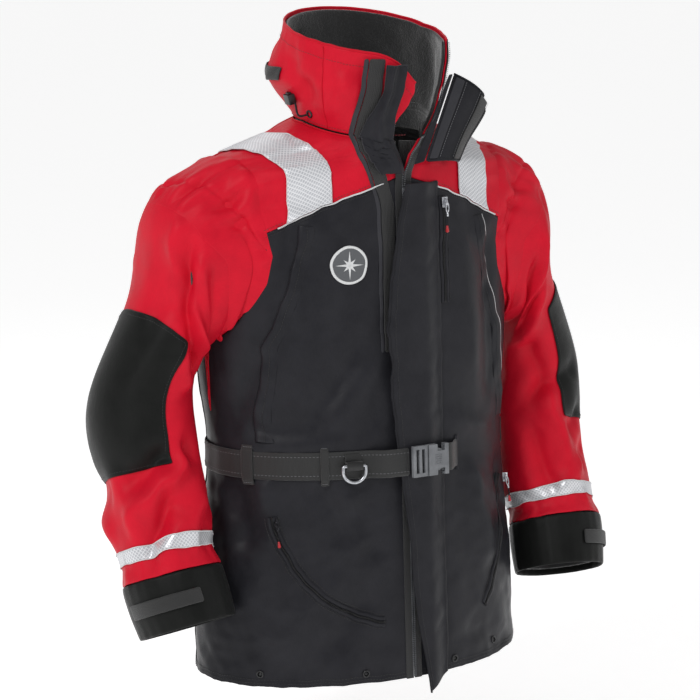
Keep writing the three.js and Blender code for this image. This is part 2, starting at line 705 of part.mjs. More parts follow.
function pocketZip(hand) {
  const group = new THREE.Group();
  const arc = pocketArc(POCKETS[hand]);
  const out = arc.axis.y < 0 ? arc.axis.clone() : arc.axis.clone().negate();
  const place = (u, v, outside) => {
    const turn = arc.sweep * v;
    const across = arc.along(turn).cross(out).normalize();
    const high = u > 0.3 && u < 0.7 ? 1 : 0;
    return arc.at(turn).addScaledVector(across, mix(-5, 5, u)).addScaledVector(out, outside * (1 + high));
  };
  group.add(mesh(`pocket_zip_${hand}`, slab(4, 12, place), COLOURS.black));
  const first = arc.sweep * 0.03;
  const up = arc.along(first).multiplyScalar(-Math.sign(arc.sweep));
  const here = arc.at(first).addScaledVector(out, 2.6);
  const fittings = standAt(here, up, out);
  fittings.add(slider(`pocket_slider_${hand}`, 9));
  group.add(fittings);
  const upright = vec(0, 0, 1).addScaledVector(out, -out.z).normalize();
  const hanging = standAt(here.clone().addScaledVector(out, 5.4), upright, out);
  hanging.add(pull(`pocket_pull_${hand}`, 9));
  group.add(hanging);
  return group;
}

// ---- Belt ---------------------------------------------------------------------------------------
const beltLift = (x) => mix(BELT.lift, BELT.overFlap, smooth(x, -66, -38));

function beltWebbing() {
  const [fromTurn, toTurn] = [-2, -284];
  const place = (u, v, outside) => {
    const turn = radians(mix(fromTurn, toTurn, u));
    const z = BELT.z + BELT.height * (v - 0.5);
    const [, at] = torsoPlace(1e3, z, false);
    const front = Math.cos(turn) > 0 ? onTorso(220 * Math.sin(turn), z, 0).x : -220;
    return torso(turn, at, (turn > -1.5 ? beltLift(front) : BELT.lift) + outside * BELT.thick);
  };
  return slab(40, 1, place);
}

const BELT_LOOP = { halfWidth: 5, reach: 27, thick: 1.6 };

function beltLoop(name, x, back) {
  const { halfWidth, reach, thick } = BELT_LOOP;
  const place = (u, v, outside) => {
    const z = BELT.z + reach * (2 * v - 1);
    const over = 1 - smooth(Math.abs(z - BELT.z), 19.6, 24);
    const lift = mix(BELT.lift, BELT.lift + BELT.thick + 0.8, over);
    return onTorso(x + halfWidth * (2 * u - 1), z, lift + outside * thick, back);
  };
  return mesh(name, slab(1, 8, place), COLOURS.webbing);
}

function beltStrap() {
  const { z, height, thick } = BELT;
  const place = (u, v, outside) => {
    const x = mix(BUCKLE.femaleEnd + 0.5, BELT.slotX, u);
    const lift = mix(BELT.overFlap + 4, 1.2, smooth(x, BUCKLE.femaleEnd + 6, BELT.slotX));
    return onTorso(x, z + height * (v - 0.5), lift + outside * thick);
  };
  return mesh("belt_strap_left", slab(6, 1, place), COLOURS.webbing);
}

// Local frame of the buckle: +X along the belt to the wearer's left, +Y up, +Z out.
function buckle() {
  const group = standOnTorso(BUCKLE.joint, BELT.z, BUCKLE.lift);
  const { maleEnd, joint, femaleEnd, height, thick } = BUCKLE;
  const middle = thick / 2;
  const [male, female] = [joint - maleEnd, femaleEnd - joint];
  const frame = solid(block(male - 0.5, height, thick * 0.6, -male / 2 - 0.25, 0, middle));
  const slots = [0.32, 0.7].map((part) =>
    solid(block(male * 0.2, height - 10, thick * 2, -male * part, 0, middle)),
  );
  const guide = solid(block(female * 0.6, 5, 3, female * 0.3 - 1, 0, middle));
  const maleSolid = slots.reduce((body, slot) => body.subtract(slot), frame).add(guide);
  group.add(mesh("buckle_male", maleSolid, COLOURS.buckle, 0.45));
  const body = solid(block(female, height, thick, female / 2, 0, middle));
  const mouth = solid(block(female * 0.9, height - 8, thick * 0.56, female * 0.4, 0, middle));
  const windows = [1, -1].map((side) =>
    solid(block(female * 0.36, 12, thick * 2, female * 0.62, side * (height / 2 - 3), middle)),
  );
  const femaleSolid = windows.reduce((made, cut) => made.subtract(cut), body.subtract(mouth));
  group.add(mesh("buckle_female", femaleSolid, COLOURS.buckle, 0.45));
  for (const [name, side] of [["buckle_prong_upper", 1], ["buckle_prong_lower", -1]]) {
    const outline = new THREE.Shape();
    outline.moveTo(0.4, side * 9).lineTo(female * 0.5, side * 10.5).lineTo(female * 0.72, side * 8.5);
    outline.lineTo(female * 0.72, side * 13).lineTo(female * 0.5, side * 16).lineTo(female * 0.46, side * 13);
    outline.lineTo(0.4, side * 12);
    const arm = new THREE.ExtrudeGeometry(outline, { depth: thick * 0.4, bevelEnabled: false });
    arm.translate(0, 0, middle - thick * 0.2);
    group.add(mesh(name, facingOut(mergeBare(arm)), COLOURS.buckle, 0.45));
  }
  return group;
}

function mergeBare(geometry) {
  geometry.deleteAttribute("normal");
  geometry.deleteAttribute("uv");
  return mergeVertices(geometry, 1e-4);
}

// A straight bar on top of a round bottom, as a closed list of points.
function dOutline(half, top, roundTop, drop) {
  const path = new THREE.Path();
  path.moveTo(-half, top).lineTo(half, top).lineTo(half, roundTop);
  path.absellipse(0, roundTop, half, drop, 0, -Math.PI, true);
  return path.getPoints(7);
}

function dRing() {
  const { width, drop, wire } = D_RING;
  const half = width / 2;
  const bend = half * 0.92;
  const roundTop = wire - drop + bend;
  const band = 2 * wire;
  const outline = new THREE.Shape(dOutline(half, wire, roundTop, bend).reverse());
  outline.holes.push(new THREE.Path(dOutline(half - band, -wire, roundTop, bend - band)));
  const depth = band - 1;
  const ring = new THREE.ExtrudeGeometry(outline, { depth, bevelEnabled: false });
  return mesh("d_ring", ring.translate(0, 0, -depth / 2), COLOURS.metal, 0.4, 1);
}

function dRingKeeper() {
  const tunnel = new THREE.Shape().absarc(0, 0, 6.2, 0, 2 * Math.PI);
  tunnel.holes.push(new THREE.Path().absarc(0, 0, 4, 0, 2 * Math.PI, true));
  const loop = new THREE.ExtrudeGeometry(tunnel, { depth: 22, bevelEnabled: false, curveSegments: 6 });
  loop.rotateY(Math.PI / 2).translate(-11, 0, 0);
  const plate = solid(block(22, 30, 1.6, 0, 0, -5.4));
  return mesh("d_ring_keeper", solid(loop).add(plate), COLOURS.webbing);
}

function dRingFittings() {
  const group = standOnTorso(D_RING.x, BELT.z, BELT.lift + BELT.thick + 7.2);
  group.add(dRingKeeper(), dRing());
  return group;
}

// ---- Small trim ---------------------------------------------------------------------------------
function badge() {
  const { x, z, radius, thick } = BADGE;
  const group = standOnTorso(x, z, REST_GAP + 1.6);
  const disc = new THREE.CylinderGeometry(radius, radius, thick, 28).rotateX(Math.PI / 2);
  group.add(mesh("badge", disc.translate(0, 0, thick / 2), COLOURS.white));
  return group;
}

const COLLAR_TAB = { sewn: -98, free: -142, height: 0.5, share: 0.13, lift: 0.8, thick: 2 };

function collarTab() {
  const { sewn, free, height, share, lift, thick } = COLLAR_TAB;
  const place = (u, v, outside) => {
    const turn = radians(mix(sewn, free, u));
    return collar(turn, height + share * (v - 0.5), lift + outside * thick);
  };
  return mesh("collar_tab", slab(6, 1, place), COLOURS.black);
}

const CORD_LOCK = { turn: -96, height: 0.24, width: 17, tall: 14, deep: 10, button: 7 };
const CORD = { eyeletTurn: -78, eyeletHeight: 0.12, radius: 1.4, sag: 7 };

function cordLock() {
  const { turn, height, width, tall, deep, button } = CORD_LOCK;
  const group = standOnCollar(radians(turn), height, 1);
  const barrel = solid(block(width, tall, deep, 0, 0, deep / 2));
  const bore = solid(block(9, 9, deep - 3, 0, tall / 2 - 4, deep / 2));
  group.add(mesh("cord_lock_body", barrel.subtract(bore), COLOURS.black, 0.5));
  const cap = block(8, button, deep - 4.4, 0, tall / 2 - 1, deep / 2);
  group.add(mesh("cord_lock_button", cap, COLOURS.black, 0.5));
  return group;
}

function collarCord() {
  const from = collar(radians(CORD_LOCK.turn + 7), CORD_LOCK.height - 0.03, 6);
  const to = collar(radians(CORD.eyeletTurn), CORD.eyeletHeight, 3);
  const middle = from.clone().lerp(to, 0.5);
  middle.add(collar(radians(-86), 0.2, 9).sub(collar(radians(-86), 0.2, 4)));
  middle.z -= CORD.sag;
  const route = new THREE.CatmullRomCurve3([from, middle, to]);
  const section = new THREE.Shape().absarc(0, 0, CORD.radius, 0, 2 * Math.PI);
  const options = { steps: 8, extrudePath: route, curveSegments: 4, bevelEnabled: false };
  return mesh("collar_cord", new THREE.ExtrudeGeometry(section, options), COLOURS.black);
}

// ---- The jacket ---------------------------------------------------------------------------------
function makeFront() {
  const group = new THREE.Group();
  group.add(mesh("zip_tape_right", zipHalf(NEAR_EDGE, -1, 90), COLOURS.black));
  group.add(mesh("zip_tape_left", zipHalf(FAR_EDGE, 1, 108), COLOURS.black));
  const loopOuter = (z) => lineThrough(LOOP_EDGE, z);
  const loopInner = (z) => loopOuter(z) + LOOP_STRIP.width;
  const loop = strip(stepped(16, 88, LOOP_STRIP.bottomZ), loopInner, loopOuter, (u, z) => [
    REST_GAP + neckRise(z),
    REST_GAP + neckRise(z) + LOOP_STRIP.thick,
  ]);
  group.add(mesh("loop_strip", loop, COLOURS.black));
  const windInner = (z) => lineThrough(NEAR_EDGE, z) - 2;
  const windLifts = (u, z) => [neckRise(z) + 7, neckRise(z) + 9];
  const wind = strip(stepped(9, 92, -40), windInner, (z) => loopOuter(z) + 8, windLifts);
  group.add(mesh("inner_flap", wind, COLOURS.charcoal));
  group.add(mesh("storm_flap", stormFlap(), COLOURS.charcoal));
  group.add(mesh("storm_flap_top", flapTopSheet(6, 5, 0, 1, [0, 2.6]), COLOURS.charcoal));
  group.add(mesh("hook_strip", flapTopSheet(2, 5, 0.72, 0.97, [3, 4.4]), COLOURS.black));
  const top = onTorso(0, ZIP.sliderZ, ZIP.sliderLift);
  const up = top.clone().sub(onTorso(0, -700, ZIP.sliderLift)).normalize();
  const out = vec(0, -up.z, up.y);
  group.add(zipFittings("main_zip", top, up, out, 7));
  return group;
}

function makeBelt() {
  const group = new THREE.Group();
  group.add(mesh("belt_webbing", beltWebbing(), COLOURS.webbing));
  group.add(beltLoop("belt_loop_front_right", -118, false), beltLoop("belt_loop_side_right", -200, false));
  group.add(beltLoop("belt_loop_back", 0, true));
  group.add(beltStrap(), buckle(), dRingFittings());
  return group;
}

function makeJacket() {
  const jacket = new THREE.Group();
  jacket.add(torsoPanels(cutOpen(torsoLayer(SHELL))), torsoInsides());
  const tapeLayer = cutOpen(torsoLayer({ outer: 2.2, inner: 1.2 }));
  jacket.add(mesh("shoulder_tape_right", shoulderTape(-1, tapeLayer), COLOURS.silver));
  jacket.add(mesh("shoulder_tape_left", shoulderTape(1, tapeLayer), COLOURS.silver));
  jacket.add(makeCollar(), collarTab(), cordLock(), collarCord());
  jacket.add(makeFront(), makeBelt(), chestZip(), pocketZip("right"), pocketZip("left"), badge());
  jacket.add(makeSleeve("right", -1), makeSleeve("left", 1));
  return jacket;
}

export default makeJacket();
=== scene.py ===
import json
import math

import bmesh
import bpy
import numpy as np
from mathutils import Matrix, Vector


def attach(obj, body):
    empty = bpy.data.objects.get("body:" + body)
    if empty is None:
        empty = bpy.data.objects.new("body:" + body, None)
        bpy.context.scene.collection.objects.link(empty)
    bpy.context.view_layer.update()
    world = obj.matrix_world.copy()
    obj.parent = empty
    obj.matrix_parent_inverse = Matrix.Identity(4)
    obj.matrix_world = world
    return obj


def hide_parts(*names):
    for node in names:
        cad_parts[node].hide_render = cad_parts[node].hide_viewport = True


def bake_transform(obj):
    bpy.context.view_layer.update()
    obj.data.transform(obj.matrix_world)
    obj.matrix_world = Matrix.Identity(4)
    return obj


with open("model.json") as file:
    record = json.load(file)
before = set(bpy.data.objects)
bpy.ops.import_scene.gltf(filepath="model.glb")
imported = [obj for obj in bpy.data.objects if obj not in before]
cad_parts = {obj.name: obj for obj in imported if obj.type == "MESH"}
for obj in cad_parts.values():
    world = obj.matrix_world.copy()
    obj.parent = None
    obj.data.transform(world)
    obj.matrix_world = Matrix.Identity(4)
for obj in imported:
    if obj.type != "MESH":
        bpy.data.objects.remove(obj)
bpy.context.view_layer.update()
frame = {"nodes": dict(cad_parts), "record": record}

MM = 0.001  # all surfaces below are worked out in millimetres and stored in metres

# ---- The jacket's driving dimensions, in millimetres: +Z up, -Y the front, +X the wearer's left --
HEM_Z = -750
FRONT_TOP_Y = -121.8
FRONT_SLOPE = 35 / 678
NECK_DIP = 20
NECK_BACK_RISE = 4
TORSO = np.array([
    [HEM_Z, 242, 152],
    [-600, 238, 150],
    [-447, 220, 140],
    [-300, 233, 146],
    [-160, 242, 146],
    [-95, 246, 135],
    [-60, 236, 126],
    [-42, 203, 118],
    [-20, 148, 108],
    [0, 92, 100],
], float)
TOP = len(TORSO) - 1

ARMHOLE_Y, ARMHOLE_Z = 8, -172
ARMHOLE_DEPTH, ARMHOLE_HEIGHT = 88, 117
ARMHOLE_GAP = 1.5
BODY_SIDE = 244  # no fold of the body reaches further out than this below the armholes
CLEAR_OF_BODY = 250  # no fold of a sleeve reaches further in than this
BEND_START, BEND_END = (246, -215), (292, -400)  # x and z between which a sleeve bends away from the body
TUCK = 100  # how far a sleeve reaches under the body for each section before its first
SLEEVE = np.array([  # outer x, outer z, inner x, inner z, y, half-depth, tip in degrees
    [243, -57, 234, -289, 8, 88, 0],
    [290, -78, 240, -296, 14, 91, 2],
    [311, -116, 244, -306, 20, 89, 4],
    [324, -215, 248, -322, 28, 84, 5],
    [385, -362, 251, -362, 37, 80, 10],
    [380, -468, 250, -462, 8, 76, 20],
    [374, -585, 241, -575, -42, 70, 22],
    [360, -662, 234, -648, -74, 67, 22],
], float)
PATCH_ROWS = (3.15, 4.92)
TAPE_ROWS = (5.68, 5.83)
CUFF_ROW = 6.1
CUFF_END = 7.0
PATCH_FRONT, PATCH_BACK = -90, 112.5

COLLAR_RIM_WIDTH, COLLAR_RIM_DEPTH = 106, 118
COLLAR_RIM_Y, COLLAR_RIM_Z, COLLAR_RIM_SLOPE = -26, 128, 8
COLLAR_BULGE = 9
COLLAR_NEAR_EDGE = (-14, 6)
COLLAR_FAR_EDGE = (24, 57)

YOKE_CENTRE_Z, YOKE_DROP = -66, 0.33
YOKE_TURN_X, YOKE_SIDE_DROP = 112, 0.5
BACK_YOKE_Z = -150
BELT_Z, BELT_HEIGHT = -447, 38
FLAP_SEWN_X = 56
FLAP_EDGE = [(-77, -2), (-130, -16), (-285, -33), (-470, -17), (-667, 3), (-772, 21)]
NEAR_EDGE = [(92, -20), (-20, -14), (-62, -0.4), (HEM_Z, -0.4)]
FAR_EDGE = [(112, 92), (60, 84), (20, 66), (-10, 38), (-40, 10), (-62, 0.4), (HEM_Z, 0.4)]
LOOP_EDGE = [(88, -54), (11, -60), (-36, -58), (-66, -45), (-105, -33), (HEM_Z, -33)]
BADGE_X, BADGE_Z = -80, -181


# ---- Small maths --------------------------------------------------------------------------------
def cubic(a, b, c, d, f):
    """A share f of the way from b to c, on a smooth curve that comes from a and goes on to d."""
    return b + 0.5 * f * (c - a + f * (2 * a - 5 * b + 4 * c - d + f * (3 * b - a - 3 * c + d)))


def through(values, at):
    """A smooth value through a list, at positions counted in list entries."""
    last = len(values) - 1
    i = np.clip(np.floor(at).astype(int), 0, last - 1)
    f = at - i
    b, c = values[i], values[i + 1]
    a = np.where(i > 0, values[np.maximum(i - 1, 0)], 2 * b - c)
    d = np.where(i + 2 <= last, values[np.minimum(i + 2, last)], 2 * c - b)
    return cubic(a, b, c, d, f)


def smooth(x, low, high):
    t = np.clip((x - low) / (high - low), 0, 1)
    return t * t * (3 - 2 * t)


def mix(a, b, t):
    return a + (b - a) * t


def bisect(low, high, past, steps):
    """Where past(value) turns true between low and high, by halving the span."""
    for _ in range(steps):
        middle = (low + high) / 2
        over = past(middle)
        low, high = np.where(over, low, middle), np.where(over, middle, high)
    return low


def line_through(points, z):
    """x at height z along a line of (z, x) points listed from the top down."""
    heights = np.array([p[0] for p in points][::-1], float)
    sides = np.array([p[1] for p in points][::-1], float)
    return np.interp(z, heights, sides)


def unit(v):
    return v / np.maximum(np.linalg.norm(v, axis=-1, keepdims=True), 1e-9)


def normals_of(surface, u, v, flip=1):
    step = 1e-3
    along_u = surface(u + step, v) - surface(u - step, v)
    along_v = surface(u, v + step) - surface(u, v - step)
    return flip * unit(np.cross(along_u, along_v))


def grid_normals(points, wrap=False):
    """Normals of a grid of points [row, column], the outside being to the left of rising columns."""
    if wrap:
        ring = np.concatenate([points[:, -1:], points, points[:, :1]], axis=1)
        across = (ring[:, 2:] - ring[:, :-2])
    else:
        across = np.gradient(points, axis=1)
    along = np.gradient(points, axis=0)
    return unit(np.cross(across, along))


# ---- Surfaces -----------------------------------------------------------------------------------
def torso(turn, at):
    turn, at = np.broadcast_arrays(np.asarray(turn, float), np.asarray(at, float))
    z, a, b = (through(TORSO[:, k], at) for k in range(3))
    near_neck = 1 - smooth(TOP - at, 0, 3)
    front = np.maximum(0, np.cos(turn))
    back = np.maximum(0, -np.cos(turn))
    lean = near_neck * (NECK_BACK_RISE * back - NECK_DIP * front)
    y = FRONT_TOP_Y + FRONT_SLOPE * z + b - b * np.cos(turn)
    return np.stack([a * np.sin(turn), y, z + lean], axis=-1)


def torso_place(x, z, back=False):
    """The turn and section of the front's (or back's) points at side distances x and heights z."""
    x, z = np.broadcast_arrays(np.asarray(x, float), np.asarray(z, float))

    def turn_at(at):
        turn = np.arcsin(np.clip(x / through(TORSO[:, 1], at), -1, 1))
        return math.pi - turn if back else turn

    at = bisect(np.zeros(x.shape), float(TOP), lambda at: torso(turn_at(at), at)[..., 2] >= z, 36)
    return turn_at(at), at


def on_torso(x, z, lift, back=False):
    turn, at = torso_place(x, z, back)
    return torso(turn, at) + normals_of(torso, turn, at) * np.asarray(lift)[..., None]


def collar(turn, height):
    turn, height = np.broadcast_arrays(np.asarray(turn, float), np.asarray(height, float))
    base = torso(turn, np.full(turn.shape, float(TOP)))
    front = np.cos(turn)
    bulge = COLLAR_BULGE * np.sin(np.pi * height) * (1 - 0.5 * np.maximum(0, front))
    x = mix(base[..., 0], COLLAR_RIM_WIDTH * np.sin(turn), height) + bulge * np.sin(turn)
    y = mix(base[..., 1], COLLAR_RIM_Y - COLLAR_RIM_DEPTH * front, height) - bulge * front
    z = mix(base[..., 2] + 1, COLLAR_RIM_Z - COLLAR_RIM_SLOPE * front, height)
    return np.stack([x, y, z], axis=-1)


def sleeve_loft(turn, at):
    turn, at = np.broadcast_arrays(np.asarray(turn, float), np.asarray(at, float))
    outer_x, outer_z, inner_x, inner_z, y, half, tip = (through(SLEEVE[:, k], at) for k in range(7))
    depth = half * np.sin(turn)
    across = (1 + np.cos(turn)) / 2
    tip = np.radians(tip)
    z = mix(inner_z, outer_z, across) - depth * np.sin(tip)
    return np.stack([mix(inner_x, outer_x, across), y + depth * np.cos(tip), z], axis=-1)


def sleeve(turn, at):
    """The wearer's left sleeve; its first edge follows the torso's side just outside the armhole."""
    points = sleeve_loft(turn, at).copy()
    turn, at = np.broadcast_arrays(np.asarray(turn, float), np.asarray(at, float))
    near = 1 - smooth(at, 0, 0.8)
    rim = sleeve_loft(turn, np.zeros(turn.shape))
    points[..., 0] += near * (torso_side(rim[..., 1], rim[..., 2]) + ARMHOLE_GAP - rim[..., 0])
    return points


def torso_side(y, z):
    """How far the torso's side reaches out in x at a depth y and height z."""
    heights = np.linspace(0, TOP, 200)
    section = np.interp(z, through(TORSO[:, 0], heights), heights)
    a, b = through(TORSO[:, 1], section), through(TORSO[:, 2], section)
    centre = FRONT_TOP_Y + FRONT_SLOPE * z + b
    return a * np.sqrt(np.maximum(0, 1 - ((y - centre) / b) ** 2))


# ---- Meshes -------------------------------------------------------------------------------------
def new_object(name, vertices, faces, uv=None):
    mesh = bpy.data.meshes.new(name)
    mesh.from_pydata((np.asarray(vertices) * MM).tolist(), [], [list(map(int, f)) for f in faces])
    if uv is not None:
        layer = mesh.uv_layers.new(name="cloth")
        index = np.zeros(len(mesh.loops), int)
        mesh.loops.foreach_get("vertex_index", index)
        layer.data.foreach_set("uv", np.asarray(uv, float)[index].ravel())
    obj = bpy.data.objects.new(name, mesh)
    bpy.context.scene.collection.objects.link(obj)
    mesh.polygons.foreach_set("use_smooth", [True] * len(mesh.polygons))
    mesh.update()
    return obj


def grid_faces(rows, columns, wrap=False, keep=None):
    """Quads of a grid, counter-clockwise from outside; keep is an optional mask of quads."""
    last = columns if wrap else columns - 1
    faces = []
    for row in range(rows - 1):
        for column in range(last):
            if keep is not None and not keep[row, column]:
                continue
            right = (column + 1) % columns
            a, b = row * columns + column, row * columns + right
            faces.append((a, b, b + columns, a + columns))
    return faces


def cloth_uv(points):
    """Each grid point's distance along and up the cloth, in metres."""
    across = np.linalg.norm(np.diff(points, axis=1), axis=2)
    along = np.linalg.norm(np.diff(points, axis=0), axis=2)
    u = np.concatenate([np.zeros((points.shape[0], 1)), np.cumsum(across, axis=1)], axis=1)
    v = np.concatenate([np.zeros((1, points.shape[1])), np.cumsum(along, axis=0)], axis=0)
    return np.stack([u.mean(axis=0)[None, :].repeat(points.shape[0], 0), v], axis=-1) * MM


def grid_object(name, points, wrap=False, keep=None, flip=False, uv=None):
    rows, columns = points.shape[:2]
    faces = grid_faces(rows, columns, wrap, keep)
    if flip:
        faces = [face[::-1] for face in faces]
    uv = cloth_uv(points) if uv is None else uv
    obj = new_object(name, points.reshape(-1, 3), faces, uv.reshape(-1, 2))
    drop_loose(obj)
    return obj


def drop_loose(obj):
    edit = bmesh.new()
    edit.from_mesh(obj.data)
    loose = [v for v in edit.verts if not v.link_faces]
    bmesh.ops.delete(edit, geom=loose, context="VERTS")
    edit.to_mesh(obj.data)
    edit.free()


def thicken(obj, thickness, levels=1, offset=-1, crease=0.0):
    solid = obj.modifiers.new("thickness", "SOLIDIFY")
    solid.thickness = thickness * MM
    solid.offset = offset
    solid.use_rim = True
    solid.edge_crease_rim = crease
    if levels:
        fine = obj.modifiers.new("fine", "SUBSURF")
        fine.levels = levels
        fine.render_levels = levels
    return obj


BODY_OF = {node: body for body, nodes in frame["record"]["behaviour"]["bodies"].items() for node in nodes}


def dress(obj, material, nodes):
    """Gives a piece its material and hides the CAD nodes that it stands for."""
    obj.data.materials.clear()
    obj.data.materials.append(material)
    if nodes:
        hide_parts(*nodes)
    return obj


def settle(obj, material, *nodes, body=None, slot=None):
    """A finished piece that moves as one with its body."""
    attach(obj, body or BODY_OF[nodes[0]])
    return dress(obj, material, nodes)


def hang(obj, material, hand, *nodes, slot=None):
    """A finished piece of a sleeve's upper half, with its transform baked into its mesh."""
    side = 1 if hand == "left" else -1
    start, end = ((side * x * MM, 0, z * MM) for x, z in (BEND_START, BEND_END))
    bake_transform(obj)
    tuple(start)
    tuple(end)
    return dress(obj, material, nodes)


# ---- Cloth simulation ---------------------------------------------------------------------------
CLOTH_FRAMES = 22


def drape(points, faces, rest, pinned, cap, pressure, bending, shake=1.0, seed=0):
    """Lets cloth that is cut a little larger than its place settle into folds, and returns its points."""
    rng = np.random.default_rng(seed)
    start = points + rng.normal(0, shake, points.shape) * (~pinned)[:, None]
    obj = new_object("drape", start, faces)
    obj.shape_key_add(name="Basis")
    key = obj.shape_key_add(name="cut")
    key.data.foreach_set("co", (rest * MM).ravel())
    group = obj.vertex_groups.new(name="sewn")
    group.add([int(k) for k in np.flatnonzero(pinned)], 1.0, "REPLACE")
    modifier = obj.modifiers.new("cloth", "CLOTH")
    cloth = modifier.settings
    cloth.quality = 6
    cloth.mass = 0.25
    cloth.tension_stiffness = cloth.compression_stiffness = 25
    cloth.shear_stiffness = 12
    cloth.bending_stiffness = bending
    cloth.air_damping = 2
    cloth.effector_weights.gravity = 0.15
    cloth.vertex_group_mass = "sewn"
    cloth.rest_shape_key = key
    cloth.use_pressure = True
    cloth.uniform_pressure_force = pressure
    modifier.collision_settings.use_collision = False
    modifier.point_cache.frame_end = CLOTH_FRAMES
    for number in range(1, CLOTH_FRAMES + 1):
        bpy.context.scene.frame_set(number)
    evaluated = obj.evaluated_get(bpy.context.evaluated_depsgraph_get())
    settled = np.zeros(len(points) * 3)
    evaluated.data.vertices.foreach_get("co", settled)
    settled = settled.reshape(-1, 3) / MM
    bpy.data.objects.remove(obj)
    bpy.context.scene.frame_set(1)
    move = settled - points
    far = np.linalg.norm(move, axis=1, keepdims=True)
    return points + move * np.minimum(1, cap / np.maximum(far, 1e-6))


# ---- Draped surfaces ----------------------------------------------------------------------------
class Drape:
    """A surface with the folds that its cloth settled into, kept as a grid of moves."""

    def __init__(self, surface, turns, rows, moves, wrap):
        self.surface = surface
        self.turns, self.rows, self.wrap = turns, rows, wrap
        edge = 3
        if wrap:
            self.moves = np.concatenate([moves[:, -edge:], moves, moves[:, :edge]], axis=1)
        else:
            self.moves = np.pad(moves, ((0, 0), (edge, edge), (0, 0)), mode="edge")
        self.moves = np.pad(self.moves, ((edge, edge), (0, 0), (0, 0)), mode="edge")
        self.edge = edge

    def move(self, turn, at):
        if self.wrap:
            column = (turn / (2 * math.pi)) % 1 * len(self.turns)
        else:
            column = np.interp(turn, self.turns, np.arange(len(self.turns)))
        row = np.interp(at, self.rows, np.arange(len(self.rows)))
        total = 0
        i, j = np.floor(row).astype(int), np.floor(column).astype(int)
        for p in range(-1, 3):
            for q in range(-1, 3):
                weight = spline_weight(row - (i + p)) * spline_weight(column - (j + q))
                total = total + weight[..., None] * self.moves[i + p + self.edge, j + q + self.edge]
        return total

    def __call__(self, turn, at):
        turn, at = np.broadcast_arrays(np.asarray(turn, float), np.asarray(at, float))
        return self.surface(turn, at) + self.move(turn, at)


def spline_weight(distance):
    t = np.abs(distance)
    near = 2 / 3 - t * t + t ** 3 / 2
    far = np.maximum(0, 2 - t) ** 3 / 6
    return np.where(t < 1, near, far)


def even_rows(surface, turn, last, spacing, first=0.0):
    """Sections of a surface about the given spacing apart along one of its lines."""
    at = np.linspace(first, last, 2000)
    line = surface(np.full(at.shape, turn), at)
    length = np.concatenate([[0], np.cumsum(np.linalg.norm(np.diff(line, axis=0), axis=1))])
    count = max(2, int(round(length[-1] / spacing)) + 1)
    return np.interp(np.linspace(0, length[-1], count), length, at)


FOLD_DEPTH = 1.8
SLEEVE_FOLD_DEPTH = 1.15


def fold_height(u, v, folds):
    """The height of a set of long soft folds, each (u, v, u, v, width, height), in millimetres."""
    total = 0
    for u0, v0, u1, v1, width, height in folds:
        length = math.hypot(u1 - u0, v1 - v0)
        du, dv = (u1 - u0) / length, (v1 - v0) / length
        along = (u - u0) * du + (v - v0) * dv
        off = -(u - u0) * dv + (v - v0) * du
        off = off + 0.18 * width * np.sin(along / width * 1.7 + u0)
        begins = smooth(along, -0.8 * width, 0.8 * width)
        ends = begins * (1 - smooth(along, length - 0.8 * width, length + width))
        total = total + FOLD_DEPTH * height * ends * np.exp(-np.abs(off / width) ** 1.5)
    return total


def settle_grid(surface, turns, rows, wrap, cut, pinned, inside, folds, **options):
    """Simulates a grid of a surface; cut(points) is the cloth's own larger shape."""
    turn, at = np.meshgrid(turns, rows)
    points = surface(turn, at)
    outward = grid_normals(points, wrap) * (-1 if inside else 1)
    fixed = pinned(turn, at, points)
    folded = points + outward * (folds(turn, at, points) * ~fixed)[..., None]
    faces = grid_faces(len(rows), len(turns), wrap)
    if inside:
        faces = [face[::-1] for face in faces]
    start, sewn = folded.reshape(-1, 3), fixed.ravel()
    settled = drape(start, faces, cut(folded).reshape(-1, 3), sewn, **options)
    return Drape(surface, turns, rows, settled.reshape(points.shape) - points, wrap)


def in_armhole(points, grow=0.0):
    side = ((points[..., 1] - ARMHOLE_Y) / (ARMHOLE_DEPTH + grow)) ** 2
    up = ((points[..., 2] - ARMHOLE_Z) / (ARMHOLE_HEIGHT + grow)) ** 2
    return (side + up < 1) & (np.abs(points[..., 0]) > 120)


# Folds where the jacket creases as it hangs: from (u, v) to (u, v), half-width and height, in mm.
# On the body u is the side distance and v the height; on a sleeve u runs round it and v down it.
BODY_FOLDS = [
    (-58, -282, -130, -382, 12, -5),
    (-40, -300, -108, -392, 14, 4),
    (-45, -350, -50, -398, 8, -4),
    (-122, -470, -92, -548, 12, -6),
    (-100, -470, -66, -560, 13, 5),
    (-84, -505, -50, -575, 10, -5),
    (-212, -472, -208, -560, 11, -7),
    (-190, -470, -180, -540, 12, 5),
    (-200, -424, -90, -412, 7, 4),
    (-196, -402, -120, -396, 8, -4),
    (-150, -120, -164, -170, 7, -5),
    (-128, -116, -140, -160, 8, 4),
    (-190, -300, -215, -400, 12, -5),
    (-66, -620, -120, -700, 16, -5),
    (-110, -600, -180, -690, 18, 5),
    (90, -140, 120, -330, 24, 4),
    (150, -160, 165, -380, 16, -5),
    (110, -470, 150, -600, 20, 5),
    (180, -470, 200, -590, 14, -6),
    (100, -690, 190, -740, 14, -4),
    (70, -400, 150, -424, 8, 4),
]
BACK_FOLDS = [
    (-150, -180, -60, -300, 18, 5),
    (-120, -170, -30, -280, 14, -5),
    (150, -180, 70, -320, 18, 5),
    (110, -190, 40, -300, 14, -4),
    (-140, -424, 140, -416, 8, 5),
    (-100, -400, 110, -398, 9, -4),
    (-90, -470, -110, -600, 16, 6),
    (-20, -470, -30, -570, 14, 5),
    (60, -470, 80, -610, 17, 6),
    (20, -470, 26, -600, 12, -5),
    (130, -470, 150, -580, 13, -5),
]
